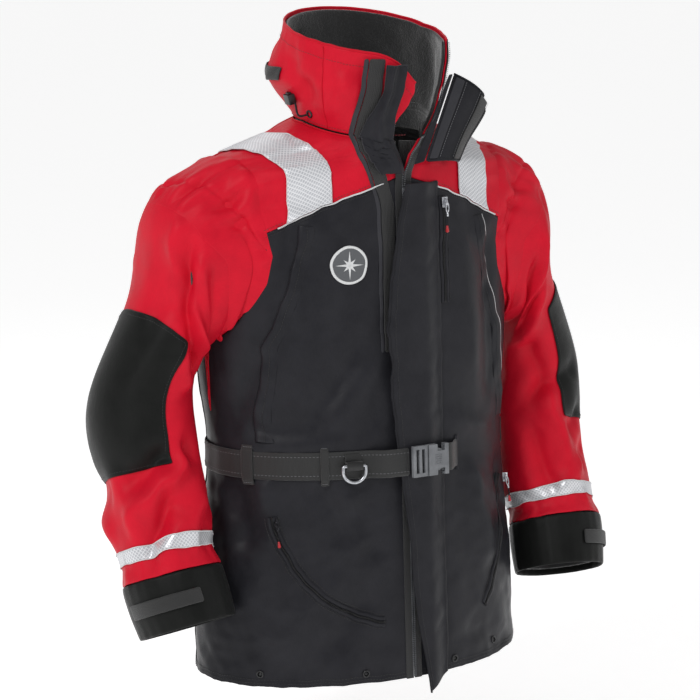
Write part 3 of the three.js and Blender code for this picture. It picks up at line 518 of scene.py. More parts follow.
COLLAR_FOLDS = [
    (520, 20, 560, 70, 12, 4),
    (500, 30, 470, 90, 10, -5),
    (450, 14, 500, 60, 9, -4),
    (560, 96, 590, 40, 10, -4),
    (430, 60, 480, 52, 8, 4),
    (380, 20, 400, 100, 12, 3),
    (300, 30, 320, 90, 14, -3),
    (200, 30, 240, 90, 14, 3),
    (100, 30, 130, 90, 12, -3),
]
RIGHT_SLEEVE_FOLDS = [
    (-86, 110, -92, 215, 15, -6.5),
    (-66, 110, -64, 215, 12, 6),
    (-116, 96, -104, 160, 9, 6),
    (-104, 92, -98, 126, 6, -5),
    (-56, 84, -62, 122, 6, -4),
    (-128, 60, -150, 120, 12, -6),
    (-92, 200, -98, 262, 13, -8),
    (-98, 262, -168, 306, 12, -9),
    (-98, 262, -40, 286, 11, -5),
    (-110, 240, -176, 262, 13, 8),
    (-120, 290, -160, 352, 14, 7),
    (-150, 306, -196, 330, 10, -8),
    (-40, 466, -120, 440, 15, -10),
    (-30, 500, -150, 452, 13, 8),
    (-50, 534, -110, 486, 10, -8),
    (-76, 540, -176, 490, 13, 6),
    (-150, 430, -200, 460, 12, -8),
    (0, 470, 60, 450, 16, -6),
    (10, 500, 90, 480, 14, 6),
    (60, 120, 100, 300, 18, -6),
    (90, 150, 130, 300, 16, 6),
    (120, 380, 190, 430, 14, -7),
    (130, 340, 200, 380, 12, 6),
]
LEFT_SLEEVE_FOLDS = [
    (-140, 90, -178, 190, 16, -9),
    (-110, 100, -140, 210, 14, 6),
    (-184, 80, -214, 170, 13, 7),
    (-150, 230, -206, 290, 13, -7),
    (-130, 250, -186, 330, 14, 6),
    (-176, 330, -150, 408, 12, -7),
    (-150, 408, -80, 380, 11, -6),
    (-150, 408, -206, 440, 13, -9),
    (-150, 412, -120, 500, 14, 7),
    (-190, 450, -160, 520, 15, -7),
    (-60, 440, -110, 470, 10, -6),
    (-50, 480, -96, 500, 9, -5),
    (-90, 500, -150, 530, 10, 6),
    (-60, 90, -70, 150, 10, -5),
    (40, 120, 90, 300, 18, -6),
    (80, 140, 120, 320, 16, 6),
    (60, 450, 130, 480, 14, -6),
]
ARM_FOLDS = {-1: RIGHT_SLEEVE_FOLDS, 1: LEFT_SLEEVE_FOLDS}
SLEEVE_ROUND = 78   # millimetres of cloth per radian round a sleeve
SLEEVE_STEP = 92    # millimetres of cloth per sleeve section


def drape_torso():
    turns = np.linspace(0, 2 * math.pi, 156, endpoint=False)
    rows = even_rows(torso, math.pi / 2, TOP, 9)

    def cut(points):
        middle = np.array([0, 12, -400])
        return middle + (points - middle) * np.array([1.06, 1.06, 1.05])

    def pinned(turn, at, points):
        front = (np.abs(points[..., 0]) < 26) & (points[..., 1] < 0)
        belt = np.abs(points[..., 2] - BELT_Z) < 15
        ends = (at > TOP - 0.35) | (at < 0.03)
        return front | belt | ends | in_armhole(points, 10)

    def folds(turn, at, points):
        x, z = points[..., 0], points[..., 2]
        front = fold_height(x, z, BODY_FOLDS)
        back = fold_height(x, z, BACK_FOLDS)
        return np.where(points[..., 1] < 20, front, back) * smooth(np.abs(points[..., 1] - 20), 0, 30)

    return settle_grid(torso, turns, rows, True, cut, pinned, False, folds,
                       cap=9, pressure=0.3, bending=0.1, seed=3)


def drape_sleeve(side, seed):
    turns = np.linspace(0, 2 * math.pi, 62, endpoint=False)
    rows = even_rows(sleeve, math.pi / 2, CUFF_END, 8)
    middle = (sleeve(turns, rows[:, None]).mean(axis=1))[:, None, :]

    def cut(points):
        wide = middle + (points - middle) * 1.05
        wide[..., 2] *= 1.07
        return wide

    def pinned(turn, at, points):
        return (at < 0.12) | (at > CUFF_ROW - 0.05)

    def folds(turn, at, points):
        round_it = np.where(turn > 0.75 * math.pi * 1.25, turn - 2 * math.pi, turn) * SLEEVE_ROUND
        shallow = 1 - 0.75 * smooth(-np.cos(turn), 0.5, 0.8)
        return SLEEVE_FOLD_DEPTH * shallow * fold_height(round_it, at * SLEEVE_STEP, ARM_FOLDS[side])

    return settle_grid(sleeve, turns, rows, True, cut, pinned, True, folds,
                       cap=9, pressure=0.4, bending=0.1, seed=seed)


def drape_collar():
    turns = np.radians(np.linspace(20, 375, 96))
    rows = np.linspace(0, 1, 19)

    def cut(points):
        return points * np.array([1.06, 1.06, 1.08])

    def pinned(turn, at, points):
        return (at < 0.08) | (at > 0.97)

    def folds(turn, at, points):
        middle = np.sin(math.pi * at)
        hunch = 20 * np.exp(-((turn - math.radians(238)) / 0.62) ** 2) * np.exp(-((at - 0.48) / 0.26) ** 2)
        lumps = 2.6 * np.sin(5 * turn + 2 * at) + 1.6 * np.sin(11 * turn - 3 * at)
        bands = fold_height(turn * 100, at * 130, COLLAR_FOLDS)
        return (lumps + bands) * middle + hunch

    return settle_grid(collar, turns, rows, False, cut, pinned, False, folds,
                       cap=7, pressure=0.4, bending=0.15, seed=11)


BODY = drape_torso()
NECK = drape_collar()
ARMS = {-1: drape_sleeve(-1, 21), 1: drape_sleeve(1, 34)}
HAND = {-1: "right", 1: "left"}


def lifted(surface, turn, at, lift, flip=1):
    """Points a given distance outside a draped surface."""
    turn, at, lift = np.broadcast_arrays(*(np.asarray(v, float) for v in (turn, at, lift)))
    step_u, step_v = 0.012, 0.03
    along_u = surface(turn + step_u, at) - surface(turn - step_u, at)
    along_v = surface(turn, at + step_v) - surface(turn, at - step_v)
    normal = flip * unit(np.cross(along_u, along_v))
    return surface(turn, at) + normal * lift[..., None]


def body_at(turn, at, lift=0.0):
    points = lifted(BODY, turn, np.clip(at, 0.03, TOP - 0.03), lift)
    widest = mix(400, BODY_SIDE, smooth(-points[..., 2], 285, 300))
    points[..., 0] = np.clip(points[..., 0], -widest, widest)
    return points


def neck_at(turn, height, lift=0.0):
    step_u, step_v = 0.02, 0.03
    turn, height, lift = np.broadcast_arrays(*(np.asarray(v, float) for v in (turn, height, lift)))
    along_u = collar(turn + step_u, height) - collar(turn - step_u, height)
    along_v = collar(turn, height + step_v) - collar(turn, height - step_v)
    return NECK(turn, height) + unit(np.cross(along_u, along_v)) * lift[..., None]


def arm_at(side, turn, at, lift=0.0):
    """Draped points of a sleeve; sections below 0 lie tucked under the body's edge."""
    turn, at, lift = np.broadcast_arrays(*(np.asarray(v, float) for v in (turn, at, lift)))
    inner = np.clip(at, 0.03, CUFF_END - 0.03)
    points = lifted(ARMS[side], turn, inner, lift, flip=-1)
    points = points + sleeve(turn, np.maximum(at, 0)) - sleeve(turn, inner)
    points[..., 0] -= np.maximum(0, -at) * TUCK
    beside = mix(CLEAR_OF_BODY - 100, CLEAR_OF_BODY, smooth(at, 0.1, 1.3)) - 25 * smooth(at, 4.2, 5.2) - lift
    points[..., 0] = np.maximum(points[..., 0], beside)
    return points * np.array([side, 1, 1])


def front_at(x, z, lift=0.0, back=False):
    """Draped points of the front at side distances x and heights z, collar included."""
    x, z, lift = np.broadcast_arrays(*(np.asarray(v, float) for v in (x, z, lift)))
    turn, at = torso_place(x, z, back)
    low_part = body_at(turn, at, lift)

    def turn_at(height):
        wide = collar(np.full(x.shape, math.pi / 2), height)[..., 0]
        return np.arcsin(np.clip(x / wide, -1, 1))

    height = bisect(np.zeros(x.shape), 1.0, lambda height: collar(turn_at(height), height)[..., 2] >= z, 30)
    high_part = neck_at(turn_at(height), height, lift)
    return np.where((at < TOP - 0.01)[..., None], low_part, high_part)


# ---- Materials ----------------------------------------------------------------------------------
BAND = 314  # a wave's scale is this over the width of its bands in millimetres
TAPE_PITCH = 2.8  # the width of the cells printed on the reflective tape, in millimetres


class Paint:
    """A node material in the making."""

    def __init__(self, name, roughness=0.6, metallic=0.0, sheen=0.0, coat=0.0, shine=0.5):
        self.material = bpy.data.materials.new(name)
        self.material.use_nodes = True
        self.tree = self.material.node_tree
        self.surface = self.tree.nodes["Principled BSDF"]
        self.surface.inputs["Roughness"].default_value = roughness
        self.surface.inputs["Metallic"].default_value = metallic
        self.surface.inputs["Sheen Weight"].default_value = sheen
        self.surface.inputs["Sheen Roughness"].default_value = 0.5
        self.surface.inputs["Coat Weight"].default_value = coat
        self.surface.inputs["Specular IOR Level"].default_value = shine

    def node(self, kind, **settings):
        made = self.tree.nodes.new("ShaderNode" + kind)
        for key, value in settings.items():
            if hasattr(made, key):
                setattr(made, key, value)
            else:
                made.inputs[key.replace("_", " ")].default_value = value
        return made

    def link(self, source, target):
        self.tree.links.new(source, target)

    def place(self, source, scale):
        """Coordinates from the cloth's own flat layout or from the object, scaled per metre."""
        if source == "UV":
            start = self.node("UVMap", uv_map="cloth").outputs["UV"]
        else:
            start = self.node("TexCoord").outputs["Object"]
        turned = self.node("Mapping")
        turned.inputs["Scale"].default_value = scale if hasattr(scale, "__len__") else (scale,) * 3
        self.link(start, turned.inputs["Vector"])
        return turned.outputs["Vector"]

    def noise(self, scale, detail=3, source="Object"):
        made = self.node("TexNoise", Scale=1.0, Detail=detail, Roughness=0.6)
        self.link(self.place(source, scale), made.inputs["Vector"])
        return made.outputs["Fac"]

    def wave(self, scale, direction, source="UV"):
        made = self.node("TexWave", bands_direction=direction, Scale=1.0, Distortion=0.0)
        self.link(self.place(source, scale), made.inputs["Vector"])
        return made.outputs["Fac"]

    def maths(self, operation, a, b):
        made = self.node("Math", operation=operation)
        for slot, value in zip(made.inputs, (a, b)):
            if isinstance(value, (int, float)):
                slot.default_value = value
            else:
                self.link(value, slot)
        return made.outputs["Value"]

    def ramp(self, factor, *stops):
        made = self.node("ValToRGB")
        elements = made.color_ramp.elements
        while len(elements) < len(stops):
            elements.new(0.5)
        for element, (position, colour) in zip(elements, stops):
            element.position = position
            element.color = (*linear(colour), 1)
        self.link(factor, made.inputs["Fac"])
        return made.outputs["Color"]

    def blend(self, factor, a, b, kind="MIX"):
        made = self.node("Mix", data_type="RGBA", blend_type=kind)
        slots = [s for s in made.inputs if s.type == "RGBA"]
        for slot, value in zip(slots, (a, b)):
            if isinstance(value, tuple):
                slot.default_value = (*linear(value), 1)
            else:
                self.link(value, slot)
        if isinstance(factor, (int, float)):
            made.inputs["Factor"].default_value = factor
        else:
            self.link(factor, made.inputs["Factor"])
        return next(s for s in made.outputs if s.type == "RGBA")

    def colour(self, value):
        self.link(value, self.surface.inputs["Base Color"])

    def bump(self, height, distance, strength=1.0, under=None):
        made = self.node("Bump", Strength=strength, Distance=distance * MM)
        self.link(height, made.inputs["Height"])
        if under is not None:
            self.link(under, made.inputs["Normal"])
        self.link(made.outputs["Normal"], self.surface.inputs["Normal"])
        return made.outputs["Normal"]


def linear(colour):
    """Linear light from a colour given as 0 to 255 screen values."""
    part = [c / 255 for c in colour]
    return tuple(c / 12.92 if c <= 0.04045 else ((c + 0.055) / 1.055) ** 2.4 for c in part)


def cloth_material(name, colour, shade, thread, relief, roughness, sheen=0.03, wrinkle=0.5):
    """Plain woven cloth: crossing threads with painted sheen on their crowns, slubs, faint streaks of dye and fine
    creases.
    """
    paint = Paint(name, roughness=roughness, sheen=sheen, shine=0.12)
    across = paint.wave(BAND / thread, "X")
    along = paint.wave(BAND / thread, "Y")
    weave = paint.maths("MAXIMUM", across, along)
    blotch = paint.noise(26, detail=4)
    slub = paint.noise((900, 120, 1), detail=2, source="UV")
    tone = paint.maths("ADD", paint.maths("MULTIPLY", blotch, 0.7), paint.maths("MULTIPLY", slub, 0.3))
    base = paint.ramp(tone, (0.33, shade), (0.62, colour))
    # Painted highlight: the weave's raised threads are mixed towards a lighter copy of the colour.
    painted_crown_sheen = paint.maths("MULTIPLY", weave, 0.16)
    paint.colour(paint.blend(painted_crown_sheen, base, tuple(min(255, c * 1.35 + 12) for c in colour)))
    creases = paint.noise(95, detail=5)
    low = paint.bump(creases, wrinkle, strength=0.6)
    paint.bump(weave, relief, strength=0.5, under=low)
    paint.link(paint.ramp(blotch, (0.3, (roughness * 255 - 14,) * 3), (0.7, (roughness * 255 + 10,) * 3)),
               paint.surface.inputs["Roughness"])
    return paint.material


def fleece_material(name, colour, shade):
    paint = Paint(name, roughness=0.95, sheen=0.6)
    tufts = paint.noise(420, detail=5)
    lumps = paint.noise(90, detail=3)
    # Painted shade: the hollows between tufts, where the bump is lowest, are coloured darker.
    paint.colour(paint.ramp(tufts, (0.35, shade), (0.7, colour)))
    low = paint.bump(lumps, 2.0, strength=0.7)
    paint.bump(tufts, 1.2, strength=0.9, under=low)
    return paint.material


def foam_material(name, colour, shade):
    paint = Paint(name, roughness=0.85)
    cells = paint.node("TexVoronoi", Scale=1.0)
    paint.link(paint.place("Object", 900), cells.inputs["Vector"])
    # Painted shade: the pits of the cells, where the bump is lowest, are coloured darker.
    paint.colour(paint.ramp(cells.outputs["Distance"], (0.1, shade), (0.6, colour)))
    paint.bump(cells.outputs["Distance"], 0.5)
    return paint.material


def webbing_material(name, colour, shade, pitch=1.6):
    """Ribbed webbing: cords along its length crossed by the picks of the weft, with painted shade in the grooves
    between them.
    """
    paint = Paint(name, roughness=0.55, sheen=0.2)
    cords = paint.wave(BAND / pitch, "X")
    picks = paint.wave(BAND / (pitch * 0.6), "DIAGONAL")
    weave = paint.maths("ADD", paint.maths("MULTIPLY", cords, 0.6), paint.maths("MULTIPLY", picks, 0.4))
    # Painted shade: the low parts of the weave, the grooves between cords and picks, are coloured darker.
    paint.colour(paint.ramp(weave, (0.2, shade), (0.8, colour)))
    low = paint.bump(paint.noise(160, detail=3), 0.3, strength=0.5)
    paint.bump(weave, 0.5, strength=0.8, under=low)
    return paint.material


def tape_material(name):
    """Reflective tape: a silver film printed with a fine crossed grid, brighter round the grid."""
    paint = Paint(name, roughness=0.38, metallic=0.35)
    scale = BAND / TAPE_PITCH
    cells = paint.maths("MINIMUM", paint.wave(scale, "DIAGONAL"), paint.wave((scale, -scale, 1), "DIAGONAL"))
    rough = paint.noise(60, detail=3)
    grid = paint.ramp(cells, (0.05, (226, 227, 230)), (0.3, (176, 178, 184)))
    paint.colour(paint.blend(paint.maths("MULTIPLY", rough, 0.35), grid, (240, 241, 243)))
    low = paint.bump(rough, 0.5, strength=0.5)
    paint.bump(cells, 0.25, strength=0.5, under=low)
    return paint.material


def plastic_material(name, colour, shade, roughness=0.42, grain=0.12):
    paint = Paint(name, roughness=roughness)
    speck = paint.noise(700, detail=3)
    paint.colour(paint.ramp(paint.noise(45, detail=3), (0.3, shade), (0.7, colour)))
    paint.bump(speck, grain, strength=0.6)
    return paint.material


def metal_material(name, colour, shade, roughness=0.3):
    paint = Paint(name, roughness=roughness, metallic=1.0)
    scuff = paint.noise(300, detail=5)
    paint.colour(paint.ramp(scuff, (0.3, shade), (0.7, colour)))
    paint.bump(scuff, 0.08, strength=0.5)
    return paint.material


def thread_material(name, colour):
    paint = Paint(name, roughness=0.6, sheen=0.2)
    twist = paint.noise(2500, detail=2)
    paint.colour(paint.ramp(twist, (0.3, tuple(0.75 * c for c in colour)), (0.7, colour)))
    return paint.material


RED = cloth_material("red_cloth", (200, 18, 40), (182, 12, 34), 1.1, 0.12, 0.72, sheen=0.0)
BLACK = cloth_material("black_cloth", (36, 36, 40), (25, 25, 29), 1.1, 0.12, 0.64, sheen=0.01)
TOUGH = cloth_material("reinforcement", (19, 20, 19), (11, 12, 11), 1.6, 0.3, 0.66)
FACING = cloth_material("facing_cloth", (54, 54, 58), (42, 42, 46), 1.1, 0.12, 0.6)
LINING = fleece_material("lining", (30, 30, 31), (8, 8, 9))
FOAM = foam_material("foam", (214, 208, 190), (180, 172, 152))
WEBBING = webbing_material("webbing", (24, 25, 25), (8, 8, 9))
HOOK = webbing_material("hook_tape", (26, 26, 27), (8, 8, 9), pitch=2.2)
TAPE = tape_material("reflective")
ZIP_TAPE = webbing_material("zip_tape", (30, 30, 32), (14, 14, 15), pitch=1.0)
TEETH = plastic_material("zip_teeth", (120, 122, 126), (84, 86, 90), 0.3)
COIL = plastic_material("zip_coil", (26, 26, 28), (12, 12, 13), 0.4)
BUCKLE = plastic_material("buckle", (122, 124, 128), (98, 100, 104))
BLACK_PLASTIC = plastic_material("black_plastic", (34, 34, 36), (18, 18, 19), 0.35)
RED_PLASTIC = plastic_material("red_plastic", (178, 30, 38), (140, 18, 26), 0.4)
METAL = metal_material("metal", (206, 208, 212), (160, 162, 168))
# A darker copy of the metal: painted shade, used for the near (right) pocket's slider and pull.
SHADED_METAL = metal_material("shaded_metal", (70, 70, 74), (36, 36, 38), 0.35)
PIPING = thread_material("piping", (232, 232, 234))
RED_THREAD = thread_material("red_thread", (150, 14, 30))
BLACK_THREAD = thread_material("black_thread", (20, 20, 21))
GREY_THREAD = thread_material("grey_thread", (110, 110, 114))
WHITE_INK = thread_material("badge_white", (236, 237, 238))
GREY_INK = thread_material("badge_grey", (92, 94, 98))


# ---- Panels -------------------------------------------------------------------------------------
SPLIT_Y = 40
CELL = 8.0  # the size of a panel's cells before subdivision, in millimetres
SHELL_THICK, SHELL_FILL = 2.0, 0.4
FLEECE_LIFT, FLEECE_THICK = -11, 1.6
FOAM_LIFT, FOAM_THICK = -3.8, 4.6


def yoke_seam(x):
    beyond = np.maximum(0, np.abs(x) - YOKE_TURN_X)
    return YOKE_CENTRE_Z - YOKE_DROP * (np.abs(x) - beyond) - YOKE_SIDE_DROP * beyond


def section_where(turn, above):
    """The section at each turn where above(points) turns true, going up the torso."""
    return bisect(np.zeros(turn.shape), float(TOP), lambda at: above(torso(turn, at)), 34)


def turn_where(at, beyond, low, high):
    """The turn at each section where beyond(points) turns true, going round the torso."""
    return bisect(np.full(at.shape, low), high, lambda turn: beyond(torso(turn, at)), 34)


def above_yoke_seam(points):
    return points[..., 2] > yoke_seam(points[..., 0])


def above_back_seam(points):
    return points[..., 2] > BACK_YOKE_Z


def side_turn(at):
    return turn_where(at, lambda p: p[..., 1] > SPLIT_Y, math.pi / 3, math.pi)


def edge_turn(at, edge):
    """The turn of the opening's edge; the edge is given as (z, x) points."""
    side = 1 if edge is FAR_EDGE else -1

    def beyond(points):
        return points[..., 0] > side * line_through(edge, points[..., 2])

    return turn_where(at, beyond, 0.0, math.pi / 2)


def seam_pucker(distance, along, reach=9.0, pitch=11.0, height=0.7):
    """Small gathers that the thread pulls up beside a seam."""
    fade = np.exp(-(distance / reach) ** 2) * (1 - np.exp(-(distance / 1.5) ** 2))
    wide, narrow = 2 * math.pi * along / pitch, 2 * math.pi * along / (pitch * 0.63)
    return height * fade * (np.sin(wide) + 0.6 * np.sin(narrow))


def touching(cells):
    """The points of a grid that touch any of the marked cells."""
    rows, columns = cells.shape
    points = np.zeros((rows + 1, columns + 1), bool)
    for row in (0, 1):
        for column in (0, 1):
            points[row:row + rows, column:column + columns] |= cells
    return points


def snap_armhole(points, flat, keep):
    """Moves the cut cells' corners onto the armhole's own curve."""
    rim = touching(keep) & touching(~keep)
    y = (flat[..., 1] - ARMHOLE_Y) / ARMHOLE_DEPTH
    z = (flat[..., 2] - ARMHOLE_Z) / ARMHOLE_HEIGHT
    size = np.maximum(np.sqrt(y * y + z * z), 0.1)
    snapped = points.copy()
    snapped[..., 1] = ARMHOLE_Y + ARMHOLE_DEPTH * y / size
    snapped[..., 2] = ARMHOLE_Z + ARMHOLE_HEIGHT * z / size
    reach = torso_side(snapped[..., 1], snapped[..., 2])
    snapped[..., 0] = np.sign(flat[..., 0]) * reach
    return np.where(rim[..., None], snapped, points)


def panel_object(name, side, turn, at):
    """A panel of the shell, without the cells that lie in the armhole."""
    flat = torso(turn * side, at)
    keep = ~in_armhole((flat[:-1, :-1] + flat[1:, :-1] + flat[:-1, 1:] + flat[1:, 1:]) / 4)
    points = snap_armhole(body_at(turn * side, at), flat, keep)
    return grid_object(name, points, keep=keep, flip=side < 0)


def soft(obj, material, node, thickness):
    thicken(obj, thickness)
    settle(obj, material, node)


def make_front_panels():
    u = np.linspace(0, 1, 44)
    for side, hand in HAND.items():
        edge = FAR_EDGE if side > 0 else NEAR_EDGE
        low = even_rows(torso, math.pi / 4, TOP, CELL)
        inner = edge_turn(np.array([0.0]), edge)[0]
        turn = inner + (side_turn(low)[:, None] - inner) * u[None, :]
        for _ in range(5):
            seam = section_where(turn[-1], above_yoke_seam)
            at = (low / TOP)[:, None] * seam[None, :]
            turn = inner + (side_turn(at[:, -1])[:, None] - inner) * u[None, :]
        panel = panel_object(f"front_panel_{hand}_cloth", side, turn, at)
        soft(panel, BLACK, f"front_panel_{hand}", SHELL_THICK)
        turn, at = yoke_grid(edge, np.linspace(0, 1, 44)[:, None], u)
        yoke = panel_object(f"front_yoke_{hand}_cloth", side, turn, at)
        soft(yoke, RED, f"front_yoke_{hand}", SHELL_THICK)


def yoke_grid(edge, v, u):
    """Turns and sections of a front yoke between the seam below and the neck above."""
    start = np.array([TOP - 3.0])
    inner, outer = edge_turn(start, edge), side_turn(start)
    turn = np.broadcast_to(inner + (outer - inner) * u[None, :], (v.shape[0], u.shape[0]))
    for _ in range(6):
        seam = section_where(turn, above_yoke_seam)
        at = seam + (TOP - seam) * v
        inner, outer = edge_turn(at[:, 0], edge), side_turn(at[:, -1])
        turn = inner[:, None] + (outer - inner)[:, None] * u[None, :]
    return turn, at


def round_the_back(at, u):
    """Turns from one side seam round the back to the other, at each row's section."""
    outer = side_turn(at)
    return outer[:, None] + (2 * math.pi - 2 * outer[:, None]) * u[None, :]


def make_back_panels():
    u = np.linspace(0, 1, 68)
    low = even_rows(torso, math.pi, TOP, CELL)
    seam = section_where(round_the_back(low, u)[0], above_back_seam)
    at = (low / TOP)[:, None] * seam[None, :]
    turn = round_the_back(at[:, 0], u)
    soft(panel_object("back_panel_cloth", 1, turn, at), BLACK, "back_panel", SHELL_THICK)
    v = np.linspace(0, 1, 52)[:, None]
    for _ in range(3):
        seam = section_where(turn[0], above_back_seam)[None, :]
        at = seam + (TOP - seam) * v
        turn = round_the_back(at[:, 0], u)
    soft(panel_object("back_yoke_cloth", 1, turn, at), RED, "back_yoke", SHELL_THICK)


def make_insides():
    rows = even_rows(torso, math.pi / 2, TOP - 0.04, 14, first=0.12)
    turn, at = np.meshgrid(np.linspace(0.02, 2 * math.pi - 0.02, 120), rows)
    lining = grid_object("body_lining_fleece", body_at(turn, at, FLEECE_LIFT))
    soft(lining, LINING, "body_lining", FLEECE_THICK)
    low = even_rows(torso, math.pi / 2, TOP - 4.6, 16, first=0.2)
    front, back = np.linspace(0.03, 1.75, 26), np.linspace(1.95, 2 * math.pi - 1.95, 40)
    for name, side, turns in (("front_right", -1, front), ("front_left", 1, front), ("back", 1, back)):
        turn, at = np.meshgrid(turns, low)
        batt = grid_object(f"foam_{name}_sheet", body_at(turn * side, at, FOAM_LIFT), flip=side < 0)
        soft(batt, FOAM, f"foam_{name}", FOAM_THICK)


# ---- Lines of piping and stitches ---------------------------------------------------------------
def resample(points, spacing):
    length = np.concatenate([[0], np.cumsum(np.linalg.norm(np.diff(points, axis=0), axis=1))])
    count = max(2, int(length[-1] / spacing) + 1)
    at = np.linspace(0, length[-1], count)
    return np.stack([np.interp(at, length, points[:, k]) for k in range(3)], axis=-1)


def tube_parts(points, radius, sides=8, spacing=4.0):
    """Vertices and faces of a thin round cord along a line of points."""
    line = resample(np.asarray(points), spacing)
    along = unit(np.gradient(line, axis=0))
    guide = np.where(np.abs(along[:, 2:]) > 0.9, [[0.0, 1.0, 0.0]], [[0.0, 0.0, 1.0]])
    across = unit(np.cross(along, guide))
    for k in range(1, len(line)):
        turned = across[k - 1] - along[k] * np.dot(across[k - 1], along[k])
        across[k] = turned / np.linalg.norm(turned)
    up = np.cross(along, across)
    angle = np.arange(sides) * 2 * math.pi / sides
    ring = across[:, None] * np.cos(angle)[None, :, None] + up[:, None] * np.sin(angle)[None, :, None]
    radii = np.broadcast_to(np.asarray(radius, float), (len(line),))[:, None, None]
    vertices = (line[:, None] + ring * radii).reshape(-1, 3)
    faces = [face[::-1] for face in grid_faces(len(line), sides, wrap=True)]
    faces.append(tuple(range(sides)))
    faces.append(tuple((len(line) - 1) * sides + k for k in range(sides))[::-1])
    return vertices, faces


def joined(name, parts):
    """One object out of several (vertices, faces) parts."""
    vertices, faces, start = [], [], 0
    for part, part_faces in parts:
        vertices.append(part)
        faces.extend(tuple(k + start for k in face) for face in part_faces)
        start += len(part)
    return new_object(name, np.concatenate(vertices), faces)


def piping(name, lines, radius, material, body, slot_name, hand=None):
    """Thin tubes on a body, or, with a hand, on the cloth of that hand's sleeve at the armhole."""
    obj = joined(name, [tube_parts(line, radius) for line in lines])
    if hand:
        return hang(obj, material, hand, slot=slot_name)
    return settle(obj, material, body=body, slot=slot_name)


def stitch_parts(points, normals, pitch, length, width):
    """Short raised threads along a seam, each sunk at both ends."""
    cut = np.concatenate([[0], np.cumsum(np.linalg.norm(np.diff(points, axis=0), axis=1))])
    count = int(cut[-1] / pitch)
    if count < 1:
        return []
    starts = (np.arange(count) + 0.2) * pitch
    parts = []
    steps = np.array([0, 0.2, 0.5, 0.8, 1.0])
    heights = np.array([-0.25, 0.35, 0.5, 0.35, -0.25]) * width
    where = starts[:, None] + steps[None, :] * length
    line = np.stack([np.interp(where, cut, points[:, k]) for k in range(3)], axis=-1)
    out = unit(np.stack([np.interp(where, cut, normals[:, k]) for k in range(3)], axis=-1))
    along = unit(line[:, -1:] - line[:, :1])
    across = unit(np.cross(along, out))
    centre = line + out * heights[None, :, None]
    half = np.array([0.25, 0.5, 0.5, 0.5, 0.25])[None, :, None] * width
    left, right = centre - across * half, centre + across * half
    crown = centre + out * width * 0.35
    vertices = np.stack([left, crown, right], axis=2)
    base = np.arange(count)[:, None, None] * 15
    for k in range(4):
        for side in (0, 1):
            a = base + k * 3 + side
            quad = np.concatenate([a, a + 3, a + 4, a + 1], axis=2).reshape(-1, 4)
            parts.extend(map(tuple, quad))
    return [(vertices.reshape(-1, 3), parts)]


def stitches(name, lines, material, body, slot_name, pitch=4.2, length=3.0, width=0.75, hand=None):
    """Thread along lines, each a pair of (points, normals); with a hand, it is baked in place through hang."""
    parts = []
    for points, normals in lines:
        parts += stitch_parts(points, normals, pitch, length, width)
    obj = joined(name, parts)
    if hand:
        return hang(obj, material, hand, slot=slot_name)
    return settle(obj, material, body=body, slot=slot_name)


def line_on(place, *arguments, lift=0.3):
    """Points and outward normals of a line laid on a surface."""
    base, above = place(*arguments, lift), place(*arguments, lift + 1)
    return base, unit(above - base)


def make_seams():
    for side, hand in HAND.items():
        low = 30 if side < 0 else FLAP_SEWN_X
        xs = np.linspace(low, 238, 100)
        seam = front_at(side * xs, yoke_seam(xs), 0.9)
        seam = seam[~in_armhole(seam, 13)]
        piping(f"yoke_piping_{hand}", [seam], 1.1, PIPING, "shell", "red_cloth")
        rows = [line_on(front_at, side * xs, yoke_seam(xs) + up) for up in (-5, 5)]
        rows = [trimmed(points, normals) for points, normals in rows]
        stitches(f"yoke_stitches_{hand}_black", rows[:1], BLACK_THREAD, "shell", "black_cloth")
        stitches(f"yoke_stitches_{hand}_red", rows[1:], RED_THREAD, "shell", "red_cloth")
        at = np.linspace(0.03, 5.2, 160)
        turn = side * side_turn(at)
        seam = body_at(turn, at, 0.3)
        seam = seam[seam[:, 2] < ARMHOLE_Z - ARMHOLE_HEIGHT]
        piping(f"side_seam_{hand}", [seam], 0.9, BLACK, "shell", "black_cloth")
        at = np.linspace(5.5, TOP - 0.05, 60)
        seam = body_at(side * side_turn(at), at, 0.4)
        seam = seam[~in_armhole(seam, 2)]
        piping(f"shoulder_seam_{hand}", [seam], 0.9, RED, "shell", "red_cloth")
    turn = np.linspace(1.9, 2 * math.pi - 1.9, 150)
    at = section_where(turn, above_back_seam)
    seam = body_at(turn, at, 0.7)
    seam = seam[~in_armhole(seam, 2)]
    piping("back_yoke_piping", [seam], 1.1, PIPING, "shell", "red_cloth")
    turn = np.linspace(0.01, 2 * math.pi - 0.01, 420)
    hem = [line_on(body_at, turn, np.full(turn.shape, rise)) for rise in (0.06, 0.09)]
    stitches("hem_stitches", hem, BLACK_THREAD, "shell", "black_cloth")


def trimmed(points, normals):
    kept = ~in_armhole(points, 2)
    return points[kept], normals[kept]


# ---- Shoulder tapes -----------------------------------------------------------------------------
TAPE_FRONT_X, TAPE_TOP_X, TAPE_HALF = 108, 158, 25
TAPE_FRONT_Y = -180
TAPE_ABOVE_SEAM = 1


def tape_centre(y):
    return np.interp(y, [TAPE_FRONT_Y, 0], [TAPE_FRONT_X, TAPE_TOP_X])


def over_shoulder(offset, step):
    """Turn and section of points over the shoulder: step 0 to 1 climbs the front, 1 to 2 goes down the back."""
    sections = np.linspace(3, TOP, 400)
    widths = through(TORSO[:, 1], sections)
    x = tape_centre(np.full(offset.shape, -100.0)) + offset
    for _ in range(6):
        ridge = np.interp(-x, -widths[100:], sections[100:])
        share = np.where(step < 1, step, 2 - step)
        at = 4 + (ridge - 4) * np.clip(share, 0, 1)
        turn = np.arcsin(np.clip(x / through(TORSO[:, 1], at), -1, 1))
        turn = np.where(step < 1, turn, math.pi - turn)
        x = tape_centre(torso(turn, at)[..., 1]) + offset
    return turn, at


